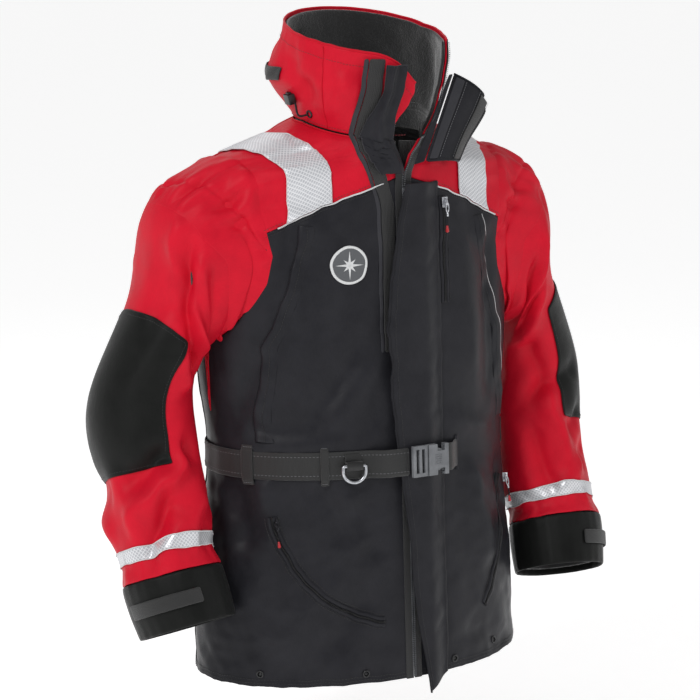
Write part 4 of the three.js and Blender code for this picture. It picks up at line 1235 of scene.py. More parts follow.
def tape_step(offset, back):
    """How far over the shoulder the tape meets the yoke's seam, at each offset from its middle."""

    def below_seam(step):
        points = torso(*over_shoulder(offset, step))
        seam = BACK_YOKE_Z if back else yoke_seam(points[..., 0])
        return points[..., 2] <= seam + TAPE_ABOVE_SEAM

    return bisect(np.full(offset.shape, 1.0), 2.0 if back else 0.0, below_seam, 24)


def make_shoulder_tapes():
    offset = np.linspace(-TAPE_HALF, TAPE_HALF, 15)
    front, back = tape_step(offset, False), tape_step(offset, True)
    s = np.linspace(0, 1, 110)[:, None]
    step = front[None, :] * (1 - s) + back[None, :] * s
    turn, at = over_shoulder(np.broadcast_to(offset, step.shape), step)
    for side, hand in HAND.items():
        points = body_at(turn * side, at, 2.5)
        tape = grid_object(f"shoulder_tape_{hand}_band", points, flip=side > 0)
        thicken(tape, 0.9)
        settle(tape, TAPE, f"shoulder_tape_{hand}")
        edges = [body_at(turn[:, k] * side, at[:, k], 2.3) for k in (0, -1)]
        piping(f"shoulder_tape_{hand}_edges", edges, 0.8, PIPING, "shell", "reflective")


# ---- Collar -------------------------------------------------------------------------------------
def rim_height(turn):
    """How much of the collar's height the rim reaches: highest at the back, rounded off at its near corner."""
    degrees = np.degrees(turn)
    corner = 0.17 * smooth(degrees, 332, 365) ** 1.5 + 0.1 * np.maximum(0, (degrees - 350) / 16) ** 2
    return 0.94 + 0.14 * np.cos(turn - math.radians(175)) - corner


NECK_BAND_HEIGHTS = (-30, -20, -10, 0, 8)


def collar_turns(height, count):
    far = mix(COLLAR_FAR_EDGE[1], COLLAR_FAR_EDGE[0], (1 - height) ** 2)
    near = 360 + mix(COLLAR_NEAR_EDGE[0], COLLAR_NEAR_EDGE[1], 1 - (1 - height) ** 2)
    return np.radians(far + (near - far) * np.linspace(0, 1, count)[None, :])


def make_collar():
    heights = np.linspace(0.006, 1, 24)[:, None]
    turn = collar_turns(heights, 96)
    height = heights * rim_height(turn)
    along = turn * 100
    rim = (rim_height(turn) - height) * 130
    pucker = seam_pucker(rim - 17, along, reach=8, pitch=13, height=1.2)
    shell = grid_object("collar_shell_cloth", neck_at(turn, height, pucker))
    soft(shell, RED, "collar_shell", SHELL_THICK)
    heights = np.linspace(0.03, 0.985, 17)[:, None]
    turn = collar_turns(heights, 84)
    height = heights * rim_height(turn)
    lining = grid_object("collar_lining_fleece", neck_at(turn, height, -3.0))
    soft(lining, LINING, "collar_lining", 4.6)
    turn = collar_turns(np.array([[0.0]]), 84)[0]
    inside = neck_at(turn, 0.06, -6.0)
    rows = [inside + [0, 0, height] for height in NECK_BAND_HEIGHTS]
    band = grid_object("neck_band_cloth", np.array(rows))
    thicken(band, 1.2)
    settle(band, LINING, body="shell", slot="lining")
    turn = collar_turns(np.array([[0.87]]), 160)[0]
    heights = rim_height(turn) - 0.14, np.full(turn.shape, 0.04)
    rows = [line_on(neck_at, turn, height) for height in heights]
    stitches("collar_stitches", rows, RED_THREAD, "shell", "red_cloth")
    turn = collar_turns(np.array([[1.0]]), 120)[0]
    rim = neck_at(turn, rim_height(turn), -1.0)
    piping("collar_rim", [rim], 1.7, RED, "shell", "red_cloth")
    base = body_at(collar_turns(np.array([[0.0]]), 120)[0], np.full(120, float(TOP)), 0.2)
    piping("collar_seam", [base], 1.2, RED, "shell", "red_cloth")
    for turn_deg in (-62, -150, 150):
        turn = math.radians(turn_deg % 360)
        seam = neck_at(np.full(40, turn), np.linspace(0.03, 0.97, 40) * rim_height(turn), 0.3)
        piping(f"collar_panel_seam_{turn_deg % 360}", [seam], 0.9, RED, "shell", "red_cloth")


# ---- Sleeves ------------------------------------------------------------------------------------
def arm_object(name, side, turns, rows, lift, thickness, wrap=False):
    """Cloth on a sleeve; lift is a distance, or a function of turn and section."""
    turn, at = np.meshgrid(turns, rows)
    lift = lift(turn, at) if callable(lift) else lift
    obj = grid_object(name, arm_at(side, turn, at, lift), wrap=wrap, flip=side > 0)
    return thicken(obj, thickness)


def full_turns(count):
    return np.linspace(0, 2 * math.pi, count, endpoint=False)


LINING_GAP = 6


def sleeve_lining(side, name, rows):
    """A plain tube inside the sleeve, clear of its folds; it meets the cuff at the wrist."""
    turn, at = np.meshgrid(full_turns(40), rows)
    cloth = arm_at(side, turn, at) * np.array([side, 1, 1])
    middle = cloth.mean(axis=1, keepdims=True)
    away = cloth - middle
    radius = np.linalg.norm(away, axis=-1)
    least = np.min([np.roll(radius, k, axis=1) for k in range(-3, 4)], axis=0)
    least[1:-1] = np.min([least[:-2], least[1:-1], least[2:]], axis=0)
    points = (middle + away * ((least - LINING_GAP) / radius)[..., None]) * np.array([side, 1, 1])
    lining = grid_object(name, points, wrap=True, flip=side > 0)
    thicken(lining, 1.8)
    return lining


def make_sleeves():
    for side, hand in HAND.items():
        arm = f"sleeve_{hand}"
        rows = np.append([-0.34, -0.2, -0.06], even_rows(sleeve, math.pi / 2, CUFF_ROW - 0.01, 7))
        cloth = arm_object(f"{arm}_cloth", side, full_turns(84), rows, 0.0, 2.0, wrap=True)
        hang(cloth, RED, hand, arm)
        rows = even_rows(sleeve, math.pi / 2, 6.9, 16, first=0.8)
        lining = sleeve_lining(side, f"{arm}_lining_cloth", rows)
        hang(lining, LINING, hand, f"sleeve_lining_{hand}")
        rows = even_rows(sleeve, math.pi / 2, PATCH_ROWS[1], 8, first=PATCH_ROWS[0])
        turns = np.radians(np.linspace(PATCH_FRONT, PATCH_BACK, 34))
        patch = arm_object(f"elbow_patch_{hand}_cloth", side, turns, rows, 2.2, 1.6)
        hang(patch, TOUGH, hand, f"elbow_patch_{hand}")
        outline = patch_outline(side)
        stitches(f"elbow_patch_{hand}_stitches", outline, BLACK_THREAD, arm, "reinforcement", hand=hand)
        rows = np.linspace(*TAPE_ROWS, 5)
        band = arm_object(f"sleeve_tape_{hand}_band", side, full_turns(72), rows, 1.6, 0.8, wrap=True)
        settle(band, TAPE, f"sleeve_tape_{hand}")
        turns = np.append(full_turns(90), 2 * math.pi)
        rings = [arm_at(side, turns, np.full(turns.shape, row), 1.6) for row in TAPE_ROWS]
        piping(f"sleeve_tape_{hand}_edges", rings, 0.8, PIPING, arm, "reflective")
        make_cuff(side, hand)
        make_cap(side, hand)


CAP_BEHIND, CAP_BELOW = 100, 152
CAP_SIDE = [(-152, 238), (-142, 228), (-125, 200), (-105, 180), (-88, 174), (-70, 182), (-40, 194),
            (0, 200), (100, 204)]
CAP_SEAM = [(-152, 0), (-85, 0.3), (-76, 0.9), (-64, 1.5), (-51, 1.9), (-41, 2.1), (-26, 2.55), (-16, 2.75),
            (3, 3.2), (20, 2.8), (40, 2.4), (70, 2.1), (100, 2.0)]


def beside_armhole(side, x, angles):
    """Turns and sections of the body at one side distance, at angles round the middle of the armhole."""
    sections = np.linspace(1.5, TOP, 400)
    widths = through(TORSO[:, 1], sections)
    falling = np.argmax(widths)
    ridge = np.interp(-x, -widths[falling:], sections[falling:])
    at = np.linspace(1.5, ridge, 300)
    front = np.arcsin(np.clip(x / through(TORSO[:, 1], at), -1, 1))
    turn = np.concatenate([front, math.pi - front[::-1]])
    at = np.concatenate([at, at[::-1]])
    points = torso(turn, at)
    up, back = (points[..., 2] - ARMHOLE_Z) / ARMHOLE_HEIGHT, (points[..., 1] - ARMHOLE_Y) / ARMHOLE_DEPTH
    around = np.arctan2(back, up)
    order = np.argsort(around)
    return side * np.interp(angles, around[order], turn[order]), np.interp(angles, around[order], at[order])


def sweep(knots, count):
    """Rows of points on smooth curves through the given rows."""
    ends = 2 * knots[0] - knots[1], 2 * knots[-1] - knots[-2]
    rows = np.concatenate([ends[0][None], knots, ends[1][None]])
    at = np.linspace(0, len(knots) - 1, count)
    k = np.minimum(at.astype(int), len(knots) - 2)
    f = (at - k)[:, None, None]
    a, b, c, d = (rows[k + step] for step in range(4))
    return cubic(a, b, c, d, f)


def cap_points(side, turn, count):
    """The sleeve's head: from the body beside the armhole, over the shoulder's edge, down on to the sleeve."""
    inside = np.interp(np.degrees(turn), *zip(*CAP_SIDE))

    def on_body(x, lift):
        spots = [beside_armhole(side, one, angle) for one, angle in zip(x, turn)]
        return body_at(np.array([spot[0] for spot in spots]), np.array([spot[1] for spot in spots]), lift)

    reach = 0.5 + 1.1 * np.maximum(0, np.cos(turn)) ** 1.5
    low = np.array([0.04, 0.5, 1.0])[:, None] * reach
    middle = (on_body(np.minimum(inside + 32, 238), 6.0) + arm_at(side, turn, low[0], 6.0)) / 2
    knots = [on_body(inside, -1.4), on_body(inside + 12, 3.0), middle,
             arm_at(side, turn, low[1], 3.4), arm_at(side, turn, low[2], -1.2)]
    return sweep(np.stack(knots), count)


def make_cap(side, hand):
    turn = np.radians(np.linspace(-CAP_BELOW, CAP_BEHIND, 190))
    points = cap_points(side, turn, 66)
    outward = grid_normals(points, False)
    outward = outward * np.sign(outward[33, 95, 2])
    along = np.linspace(0, 4, 66)[:, None]
    seam = np.interp(np.degrees(turn), *zip(*CAP_SEAM))[None, :]
    beside = along - seam
    strength = 1.2 + 2.8 * np.exp(-((np.degrees(turn) + 44) / 24) ** 2)
    strength = strength * smooth(np.degrees(turn), -105, -78)
    pleats = np.sin(turn * 19 + 1) + 0.7 * np.sin(turn * 31 + beside)
    fade = np.exp(-np.abs(beside / np.where(beside > 0, 1.3, 0.7)) ** 1.5)
    fade = fade * smooth(along, 0, 0.5) * smooth(4 - along, 0, 0.5)
    groove = 2.4 * np.exp(-(beside / 0.1) ** 2) * smooth(np.degrees(turn), -88, -70)
    points = points + outward * (fade * strength * pleats - groove)[..., None]
    cloth = grid_object(f"sleeve_head_{hand}_cloth", points, flip=side < 0)
    thicken(cloth, 1.2)
    hang(cloth, RED, hand, slot="red_cloth")
    picked = np.flatnonzero(np.degrees(turn) > -84)

    def along_seam(drop):
        """Points and normals of the seam, or of a line a little below it."""
        rows = np.clip((seam[0] + drop) / 4 * 65, 0, 64)[picked]
        whole = rows.astype(int)
        line = mix(points[whole, picked], points[whole + 1, picked], (rows % 1)[:, None])
        return line, outward[whole, picked]

    body = f"sleeve_{hand}"
    piping(f"sleeve_head_{hand}_seam", [along_seam(0)[0]], 0.8, RED_THREAD, body, "red_cloth", hand=hand)
    for drop, kind in ((0.16, "near"), (0.3, "far")):
        line, out = along_seam(drop)
        name = f"sleeve_head_{hand}_stitches_{kind}"
        stitches(name, [(line + out * 0.3, out)], RED_THREAD, body, "red_cloth", hand=hand)


def patch_outline(side):
    front, back = math.radians(PATCH_FRONT + 4), math.radians(PATCH_BACK - 4)
    low, high = PATCH_ROWS[0] + 0.05, PATCH_ROWS[1] - 0.05
    turns, rows = np.linspace(front, back, 60), np.linspace(low, high, 60)
    lines = [(turns, np.full(60, low)), (turns, np.full(60, high))]
    lines += [(np.full(60, front), rows), (np.full(60, back), rows)]
    return [line_on(lambda turn, at, lift: arm_at(side, turn, at, lift), turn, at, lift=2.1) for turn, at in lines]


def make_cuff(side, hand):
    rows = np.linspace(CUFF_ROW, CUFF_END, 11)

    def puff(turn, at):
        middle = np.sin(np.pi * (at - CUFF_ROW) / (CUFF_END - CUFF_ROW))
        gather = 0.9 * np.sin(17 * turn + side) * np.sin(9 * turn) * (1 - middle * 0.6)
        return 0.6 + 1.2 * middle + gather

    cuff = arm_object(f"cuff_{hand}_cloth", side, full_turns(84), rows, puff, 2.8, wrap=True)
    settle(cuff, TOUGH, f"cuff_{hand}")
    turns = np.radians(np.linspace(0, -90, 22))
    tab = arm_object(f"cuff_tab_{hand}_strap", side, turns, np.linspace(6.4, 6.66, 5), 3.9, 1.8)
    settle(tab, WEBBING, f"cuff_tab_{hand}")


make_front_panels()
make_back_panels()
make_insides()
make_seams()
make_shoulder_tapes()
make_collar()
make_sleeves()


# ---- Strips down the front ----------------------------------------------------------------------
NECK_BRIDGE = 3.8  # how far strips stand off where the collar meets the shoulders
REST_GAP = 0.4
ZIP_WIDTH = 12
FLAP_TOP_Z, FLAP_BOTTOM_Z = -77, -772
FLAP_LIFT = 9.6
LOOP_WIDTH, LOOP_BOTTOM_Z = 19, -300


def neck_rise(z):
    return mix(NECK_BRIDGE, np.where(z > 0, 0.8, 0), smooth(np.abs(z + 30), 20, 50))


def strip_points(heights, inside, outside, lift, columns):
    z = np.asarray(heights, float)[:, None]
    u = np.linspace(0, 1, columns)[None, :]
    x = inside(z) * (1 - u) + outside(z) * u
    z, u = np.broadcast_to(z, x.shape), np.broadcast_to(u, x.shape)
    return front_at(x, z, lift(u, z))


def strip_object(name, points, thickness):
    """A strip whose columns run either way across the front, its outside facing out."""
    across = points[:, -1, 0].mean() - points[:, 0, 0].mean()
    down = points[-1, :, 2].mean() < points[0, :, 2].mean()
    obj = grid_object(name, points, flip=(across > 0) == down)
    return thicken(obj, thickness)


def make_main_zip():
    for side, hand, edge, top in ((-1, "right", NEAR_EDGE, 74), (1, "left", FAR_EDGE, 108)):
        heights = np.concatenate([np.linspace(top, -62, 30), np.linspace(-72, -767, 92)])
        inside = lambda z: line_through(edge, z)
        outside = lambda z: line_through(edge, z) + side * ZIP_WIDTH
        lift = lambda u, z: REST_GAP + 0.8 + neck_rise(z) + 0.3 * np.sin(z / 9) * (1 - u)
        tape = strip_object(f"zip_tape_{hand}_cloth", strip_points(heights, inside, outside, lift, 5), 0.9)
        settle(tape, ZIP_TAPE, f"zip_tape_{hand}")
        z = np.linspace(top - 4, -760, 336)
        x = line_through(edge, z) + side * 1.2
        base, normal = line_on(front_at, x, z, lift=REST_GAP + 0.8)
        base = base + normal * neck_rise(z)[:, None]
        teeth = stitch_parts(base, normal, 2.6, 1.5, 2.6)
        settle(joined(f"zip_teeth_{hand}", teeth), TEETH, body="shell", slot="zip")


def make_wind_strips():
    loop_inner = lambda z: line_through(LOOP_EDGE, z) + LOOP_WIDTH
    loop_outer = lambda z: line_through(LOOP_EDGE, z)
    heights = np.concatenate([np.linspace(88, -60, 28), np.linspace(-68, LOOP_BOTTOM_Z, 36)])
    lift = lambda u, z: REST_GAP + 1.0 + neck_rise(z)
    loop = strip_object("loop_strip_cloth", strip_points(heights, loop_inner, loop_outer, lift, 6), 1.4)
    settle(loop, HOOK, "loop_strip")
    facing_inner = lambda z: line_through(LOOP_EDGE, z) - 0.5
    facing_outer = lambda z: line_through(LOOP_EDGE, z) - 6
    facing_lift = lambda u, z: 0.9 + neck_rise(z) * (1 - u)
    points = strip_points(heights, facing_inner, facing_outer, facing_lift, 3)
    facing = strip_object("near_facing_cloth", points, 0.9)
    settle(facing, FACING, body="shell", slot="black_cloth")
    heights = np.linspace(80, -64, 60)
    inner = lambda z: line_through(NEAR_EDGE, z) - 2 + 14 * smooth(z, 5, 80)
    outer = lambda z: line_through(LOOP_EDGE, z) + 8 + 3 * np.sin(z / 17) + 15 * smooth(z, 5, 70)

    def wind_lift(u, z):
        fold = 8 * np.exp(-((u - 0.5 - 0.25 * np.sin(z / 34)) / 0.17) ** 2)
        return neck_rise(z) + 7.2 + fold

    points = strip_points(heights, inner, outer, wind_lift, 28)
    flap = strip_object("inner_flap_cloth", points, 1.8)
    settle(flap, BLACK, "inner_flap")
    piping("inner_flap_edge", [points[:, -1], points[0]], 0.7, FACING, "shell", "black_cloth")


def storm_flap_points(columns, rows):
    u = np.linspace(0, 1, columns)[None, :]
    v = np.linspace(0, 1, rows)[:, None]
    z = mix(FLAP_TOP_Z, FLAP_BOTTOM_Z, v)
    free = line_smooth(FLAP_EDGE, z) + 0.9 * np.sin(z / 31) + 0.3 * np.sin(z / 13 + 1)
    x = FLAP_SEWN_X * (1 - u) + free * u
    z = np.broadcast_to(z, x.shape)
    lowest = np.maximum(z, HEM_Z + 1)
    lift = mix(FLAP_LIFT + 2.6, REST_GAP + 2.6, smooth(x, 24, FLAP_SEWN_X - 4))
    belt = np.exp(-((z - BELT_Z) / 34) ** 2)
    wave = (1.2 * np.sin(z / 44 + 2 * u) + 0.8 * np.sin(z / 23)) * u * (1 - belt)
    points = front_at(x, lowest, lift + wave)
    sag = np.minimum(0, z - lowest) * u * smooth(v, 0.9, 1)
    points[..., 2] += sag
    return points


def line_smooth(points, z):
    """A soft curve through (z, x) points listed from the top down."""
    heights = np.array([p[0] for p in points], float)
    sides = np.array([p[1] for p in points], float)
    count = np.interp(-np.asarray(z, float), -heights, np.arange(len(points)))
    return through(sides, count)


def make_storm_flap():
    points = storm_flap_points(18, 110)
    flap = strip_object("storm_flap_cloth", points, 2.4)
    settle(flap, BLACK, "storm_flap")
    piping("storm_flap_edge", [points[:, -1] + [0, -0.4, 0]], 1.5, BLACK, "shell", "black_cloth")
    normal = grid_normals(points) * np.sign(-grid_normals(points)[..., 1:2])
    rows = [(points[:, column], normal[:, column]) for column in (15, 1)]
    stitches("storm_flap_stitches", rows, BLACK_THREAD, "shell", "black_cloth")


FLAP_TOP_SEWN = ((97, 62, 12), (24, -50, 17))
FLAP_TOP_BASE = ((89, 62, 7), (10, -53, 12))
FLAP_TOP_FREE = ((160, -84, 20), (84, -54, 9))
FLAP_TOP_OUT = unit(np.array([0.35, -0.9, 0.25]))


def flap_top_points(u, v, lift):
    """The top of the storm flap, folded out over the wearer's left shoulder."""
    sewn_top, sewn_bottom = (plain_front(*corner) for corner in FLAP_TOP_SEWN)
    free_top, free_bottom = np.array(FLAP_TOP_FREE[0], float), plain_front(*FLAP_TOP_FREE[1])
    u, v = u[..., None], v[..., None]
    sewn = mix(sewn_top, sewn_bottom, v)
    free = mix(free_top, free_bottom, v)
    bow = 9 * np.sin(math.pi * u) + 2.0 * np.sin(2.2 * math.pi * v) * u
    return mix(sewn, free, u) + FLAP_TOP_OUT * (lift + bow)


def plain_front(x, z, lift):
    """A point of the undraped front or collar, where the CAD has it."""
    turn, at = torso_place(x, z)
    if at < TOP - 0.01:
        return torso(turn, at) + normals_of(torso, turn, at) * lift
    heights = np.linspace(0, 1, 400)
    wide = collar(math.pi / 2, heights)[..., 0]
    turns = np.arcsin(np.clip(x / wide, -1, 1))
    height = np.interp(z, collar(turns, heights)[..., 2], heights)
    turn = np.interp(height, heights, turns)
    return collar(turn, height) + normals_of(collar, turn, height) * lift


def make_flap_top():
    u, v = np.meshgrid(np.linspace(0, 1, 20), np.linspace(0, 1, 26))
    round_corner = 7 * np.maximum(0, u - 0.8) * np.maximum(0, 0.15 - v) / 0.03
    points = flap_top_points(u - 0.06 * round_corner, v, 1.3)
    sheet = strip_object("storm_flap_top_cloth", points, 2.2)
    settle(sheet, BLACK, "storm_flap_top")
    hinge = flap_top_points(np.zeros(26), v[:, 0], 0.2)
    base_top, base_bottom = (plain_front(*corner) for corner in FLAP_TOP_BASE)
    foot = mix(base_top, base_bottom, v[:, :1])
    rows = mix(foot[:, None], hinge[:, None], np.linspace(0, 0.97, 6)[None, :, None])
    settle(strip_object("flap_top_base_cloth", rows, 1.8), BLACK, body="shell", slot="black_cloth")
    edge = np.concatenate([points[0, ::2], points[:, -1], points[-1, ::-2]])
    piping("storm_flap_top_edge", [edge], 1.5, BLACK, "flap_top", "black_cloth")
    u, v = np.meshgrid(np.linspace(0.66, 0.94, 7), np.linspace(0.04, 0.98, 24))
    hook = strip_object("hook_strip_cloth", flap_top_points(u, v, 3.4), 1.4)
    settle(hook, HOOK, "hook_strip")
    u, v = np.meshgrid(np.linspace(0.04, 0.22, 5), np.linspace(0.02, 0.98, 24))
    facing = strip_object("flap_top_facing", flap_top_points(u, v, 2.9), 0.9)
    settle(facing, FACING, body="flap_top", slot="black_cloth")
    rows = []
    for share in (0.26, 0.62, 0.965):
        v = np.linspace(0.02, 0.98, 60)
        base = flap_top_points(np.full(60, share), v, 2.6)
        rows.append((base, np.tile(FLAP_TOP_OUT, (60, 1))))
    stitches("flap_top_stitches", rows, GREY_THREAD, "flap_top", "black_cloth")


# ---- Belt ---------------------------------------------------------------------------------------
BELT_LIFT, BELT_OVER_FLAP, BELT_THICK = 1.2, 13, 2.0
BUCKLE_LIFT = 15.5
BUCKLE_JOINT, BUCKLE_FEMALE = 16, 48
SLOT_X = 80
SLOT_WELT = [(-4, 0), (-2, 1.6), (1, 2.2), (3, 0.2)]  # places across the slot's welt, and their rise
BELT_LOOPS = [  # node, side distance, on the back or not
    ("belt_loop_front_right", -118, False),
    ("belt_loop_side_right", -200, False),
    ("belt_loop_back", 0, True),
]


def make_belt():
    turn = np.radians(np.linspace(-2, -284, 230))[None, :]
    rise = np.linspace(-0.5, 0.5, 7)[:, None] * BELT_HEIGHT
    turn, z = np.broadcast_to(turn, (7, 230)), np.broadcast_to(BELT_Z + rise, (7, 230))
    _, at = torso_place(np.full((7, 1), 1e3), z[:, :1])
    at = np.broadcast_to(at, turn.shape)
    x = torso(turn, at)[..., 0]
    lift = np.where(turn > -1.5, mix(BELT_LIFT, BELT_OVER_FLAP, smooth(x, -66, -38)), BELT_LIFT)
    ripple = 0.5 * np.sin(turn * 9) * np.sin(turn * 23)
    points = lifted(torso, turn, at, lift + BELT_THICK + np.where(lift > 2, 0, ripple + 0.3))
    belt = grid_object("belt_webbing_strap", points, flip=True)
    thicken(belt, BELT_THICK)
    settle(belt, WEBBING, "belt_webbing")
    normal = grid_normals(points) * -1
    stitches("belt_stitches", [(points[k], normal[k]) for k in (1, -2)], GREY_THREAD, "shell", "webbing", pitch=5)
    for node, x0, back in BELT_LOOPS:
        make_belt_loop(node, x0, back)
    x = np.broadcast_to(np.linspace(BUCKLE_FEMALE + 0.5, SLOT_X, 22)[None, :], (7, 22))
    z = np.broadcast_to(BELT_Z + rise, (7, 22))
    lift = mix(BELT_OVER_FLAP + 6, 3.2, smooth(x, BUCKLE_FEMALE + 6, SLOT_X))
    turn, at = torso_place(x, z)
    strap = grid_object("belt_strap_left_webbing", lifted(torso, turn, at, lift))
    thicken(strap, BELT_THICK)
    settle(strap, WEBBING, "belt_strap_left")
    z = np.linspace(BELT_Z - 24, BELT_Z + 24, 24)
    welt = [front_at(SLOT_X + across, z, 1.0 + rise) for across, rise in SLOT_WELT]
    slot_edge = strip_object("belt_slot_welt", np.stack(welt, axis=1), 1.2)
    settle(slot_edge, BLACK, body="shell", slot="black_cloth")


def make_belt_loop(node, x0, back):
    z = BELT_Z + 27 * np.linspace(-1, 1, 30)[:, None]
    x = x0 + 5 * np.linspace(-1, 1, 5)[None, :]
    x, z = np.broadcast_arrays(x, z)
    over = 1 - smooth(np.abs(z - BELT_Z), 19.6, 24)
    lift = mix(2.4, BELT_LIFT + BELT_THICK + 2.2, over)
    turn, at = torso_place(x, z, back)
    points = lifted(torso, turn, at, lift)
    loop = grid_object(f"{node}_strap", points, flip=back)
    thicken(loop, 1.4)
    settle(loop, WEBBING, node)
    rows = []
    for z0 in (-26, 26):
        x = np.linspace(x0 - 4, x0 + 4, 8)
        turn, at = torso_place(x, np.full(8, BELT_Z + z0 * 0.93), back)
        base, above = lifted(torso, turn, at, 2.5), lifted(torso, turn, at, 3.5)
        rows.append((base, above - base))
    stitches(f"{node}_stitches", rows, GREY_THREAD, "shell", "webbing", pitch=2.6, length=1.9)


# ---- Hardware -----------------------------------------------------------------------------------
def bevelled(node, material, width=0.6, segments=3):
    """The CAD's own shape with rounded edges."""
    source = frame["nodes"][node]
    mesh = source.data.copy()
    obj = bpy.data.objects.new(f"{node}_part", mesh)
    obj.matrix_world = source.matrix_world.copy()
    bpy.context.scene.collection.objects.link(obj)
    edit = bmesh.new()
    edit.from_mesh(mesh)
    bmesh.ops.remove_doubles(edit, verts=edit.verts, dist=1e-5)
    bmesh.ops.dissolve_limit(edit, angle_limit=math.radians(3), verts=edit.verts, edges=edit.edges)
    edit.to_mesh(mesh)
    edit.free()
    mesh.polygons.foreach_set("use_smooth", [True] * len(mesh.polygons))
    round_off = obj.modifiers.new("round", "BEVEL")
    round_off.width = width * MM
    round_off.segments = segments
    round_off.limit_method = "ANGLE"
    round_off.angle_limit = math.radians(35)
    round_off.harden_normals = True
    return settle(obj, material, node)


class Stand:
    """A local frame: +Y up along the piece, +Z out of the cloth."""

    def __init__(self, here, up, out):
        self.here = np.asarray(here, float)
        self.out = unit(np.asarray(out, float))
        up = np.asarray(up, float)
        self.up = unit(up - self.out * np.dot(up, self.out))
        self.right = np.cross(self.up, self.out)

    def place(self, points):
        points = np.atleast_2d(np.asarray(points, float))
        return self.here + points[:, :1] * self.right + points[:, 1:2] * self.up + points[:, 2:] * self.out


def ring_parts(points, radius, sides=10):
    """A closed loop of round wire."""
    count = len(points)
    along = unit(np.roll(points, -1, axis=0) - np.roll(points, 1, axis=0))
    plane = unit(np.cross(points[0] - points[count // 3], points[0] - points[2 * count // 3]))
    across = unit(np.cross(along, plane))
    angle = np.arange(sides) * 2 * math.pi / sides
    ring = across[:, None] * np.cos(angle)[None, :, None] + plane * np.sin(angle)[None, :, None]
    vertices = (points[:, None] + ring * radius).reshape(-1, 3)
    faces = []
    for row in range(count):
        for column in range(sides):
            a, b = row * sides + column, row * sides + (column + 1) % sides
            c, d = (a + sides) % len(vertices), (b + sides) % len(vertices)
            faces.append((a, b, d, c))
    return vertices, faces


def lathe_parts(stand, profile, centre, sides=16):
    """A turned shape hanging down -Y; profile lists (distance down, radius)."""
    angle = np.arange(sides) * 2 * math.pi / sides
    ring = np.stack([np.cos(angle), 0 * angle, np.sin(angle)], axis=-1)
    rows = [np.asarray(centre, float) - [0, d, 0] + r * ring for d, r in profile]
    vertices = stand.place(np.concatenate(rows))
    faces = grid_faces(len(profile), sides, wrap=True)
    faces.append(tuple(range(sides))[::-1])
    faces.append(tuple((len(profile) - 1) * sides + k for k in range(sides)))
    return vertices, faces


def ellipse(centre, across, along, count=28):
    angle = np.arange(count) * 2 * math.pi / count
    return np.stack([across * np.cos(angle), centre + along * np.sin(angle), 0 * angle], axis=-1)


# Profiles of a pull's ferrule and grip, as (distance down, radius) for a pull of size 1.
FERRULE = [(0, 0.1), (0.05, 0.17), (0.5, 0.17), (0.56, 0.1)]
GRIP = [(0, 0.1), (0.06, 0.17), (0.3, 0.15), (0.36, 0.18),
        (0.55, 0.22), (0.85, 0.24), (0.95, 0.17), (1.0, 0.05)]


def make_pull(node, stand, size, metal, cord_length, tip):
    """A wire link, a crimped ferrule, a short cord and a moulded grip."""
    body = BODY_OF[node]
    link = ring_parts(stand.place(ellipse(-size * 0.62, size * 0.24, size * 0.66)), size * 0.09)
    top = size * 1.25
    ferrule = lathe_parts(stand, [(d * size, r * size) for d, r in FERRULE], (0, -top, 0))
    settle(joined(f"{node}_link", [link, ferrule]), metal, node)
    start = top + 0.5 * size
    s = np.linspace(0, 1, 14)
    line = np.stack([0.8 * np.sin(s * 5) * s, -start - s * cord_length, 0 * s], axis=-1)
    cord = joined(f"{node}_cord", [tube_parts(stand.place(line), size * 0.09, spacing=1.5)])
    settle(cord, BLACK, body=body, slot="black_plastic")
    low = start + cord_length - 0.5
    grip = lathe_parts(stand, [(d * size * 0.95, r * size) for d, r in GRIP], (line[-1][0], -low, 0))
    settle(joined(f"{node}_grip", [grip]), tip, body=body, slot="zip")


def make_slider(node, stand, size, metal):
    bevelled(node, metal, width=0.35)
    bridge = np.array([[0, 0.5, 0.3], [0, 0.3, 0.62], [0, -0.1, 0.72], [0, -0.4, 0.6], [0, -0.55, 0.3]]) * size
    arch = tube_parts(stand.place(bridge), size * 0.08, spacing=0.6)
    settle(joined(f"{node}_bridge", [arch]), metal, body=BODY_OF[node], slot="zip")


PULL_DOWN = -0.1
PULL_OUT = 0.66


def zip_fittings(name, here, up, out, size, metal, cord_length, tip):
    stand = Stand(here, up, out)
    make_slider(f"{name}_slider", stand, size, metal)
    pivot = Stand(stand.place([0, PULL_DOWN * size, PULL_OUT * size])[0], up, out)
    make_pull(f"{name}_pull", pivot, size, metal, cord_length, tip)


def make_straight_zips():
    here, low = on_torso(0, -88, 2.8), on_torso(0, -700, 2.8)
    up = unit(here - low)
    zip_fittings("main_zip", here, up, np.array([0, -up[2], up[1]]), 7, METAL, 8, RED_PLASTIC)
    x, top, bottom = 64, -98, -240
    high, low = on_torso(x, top - 8, 3.2), on_torso(x, bottom, 3.2)
    up = unit(high - low)
    out = on_torso(x, -170, 4) - on_torso(x, -170, 3)
    zip_fittings("chest_zip", high, up, out - up * np.dot(out, up), 10, METAL, 13, RED_PLASTIC)
    z = np.linspace(top, bottom, 60)
    make_welted_zip("chest_zip", np.full(60, float(x)), z, 5)


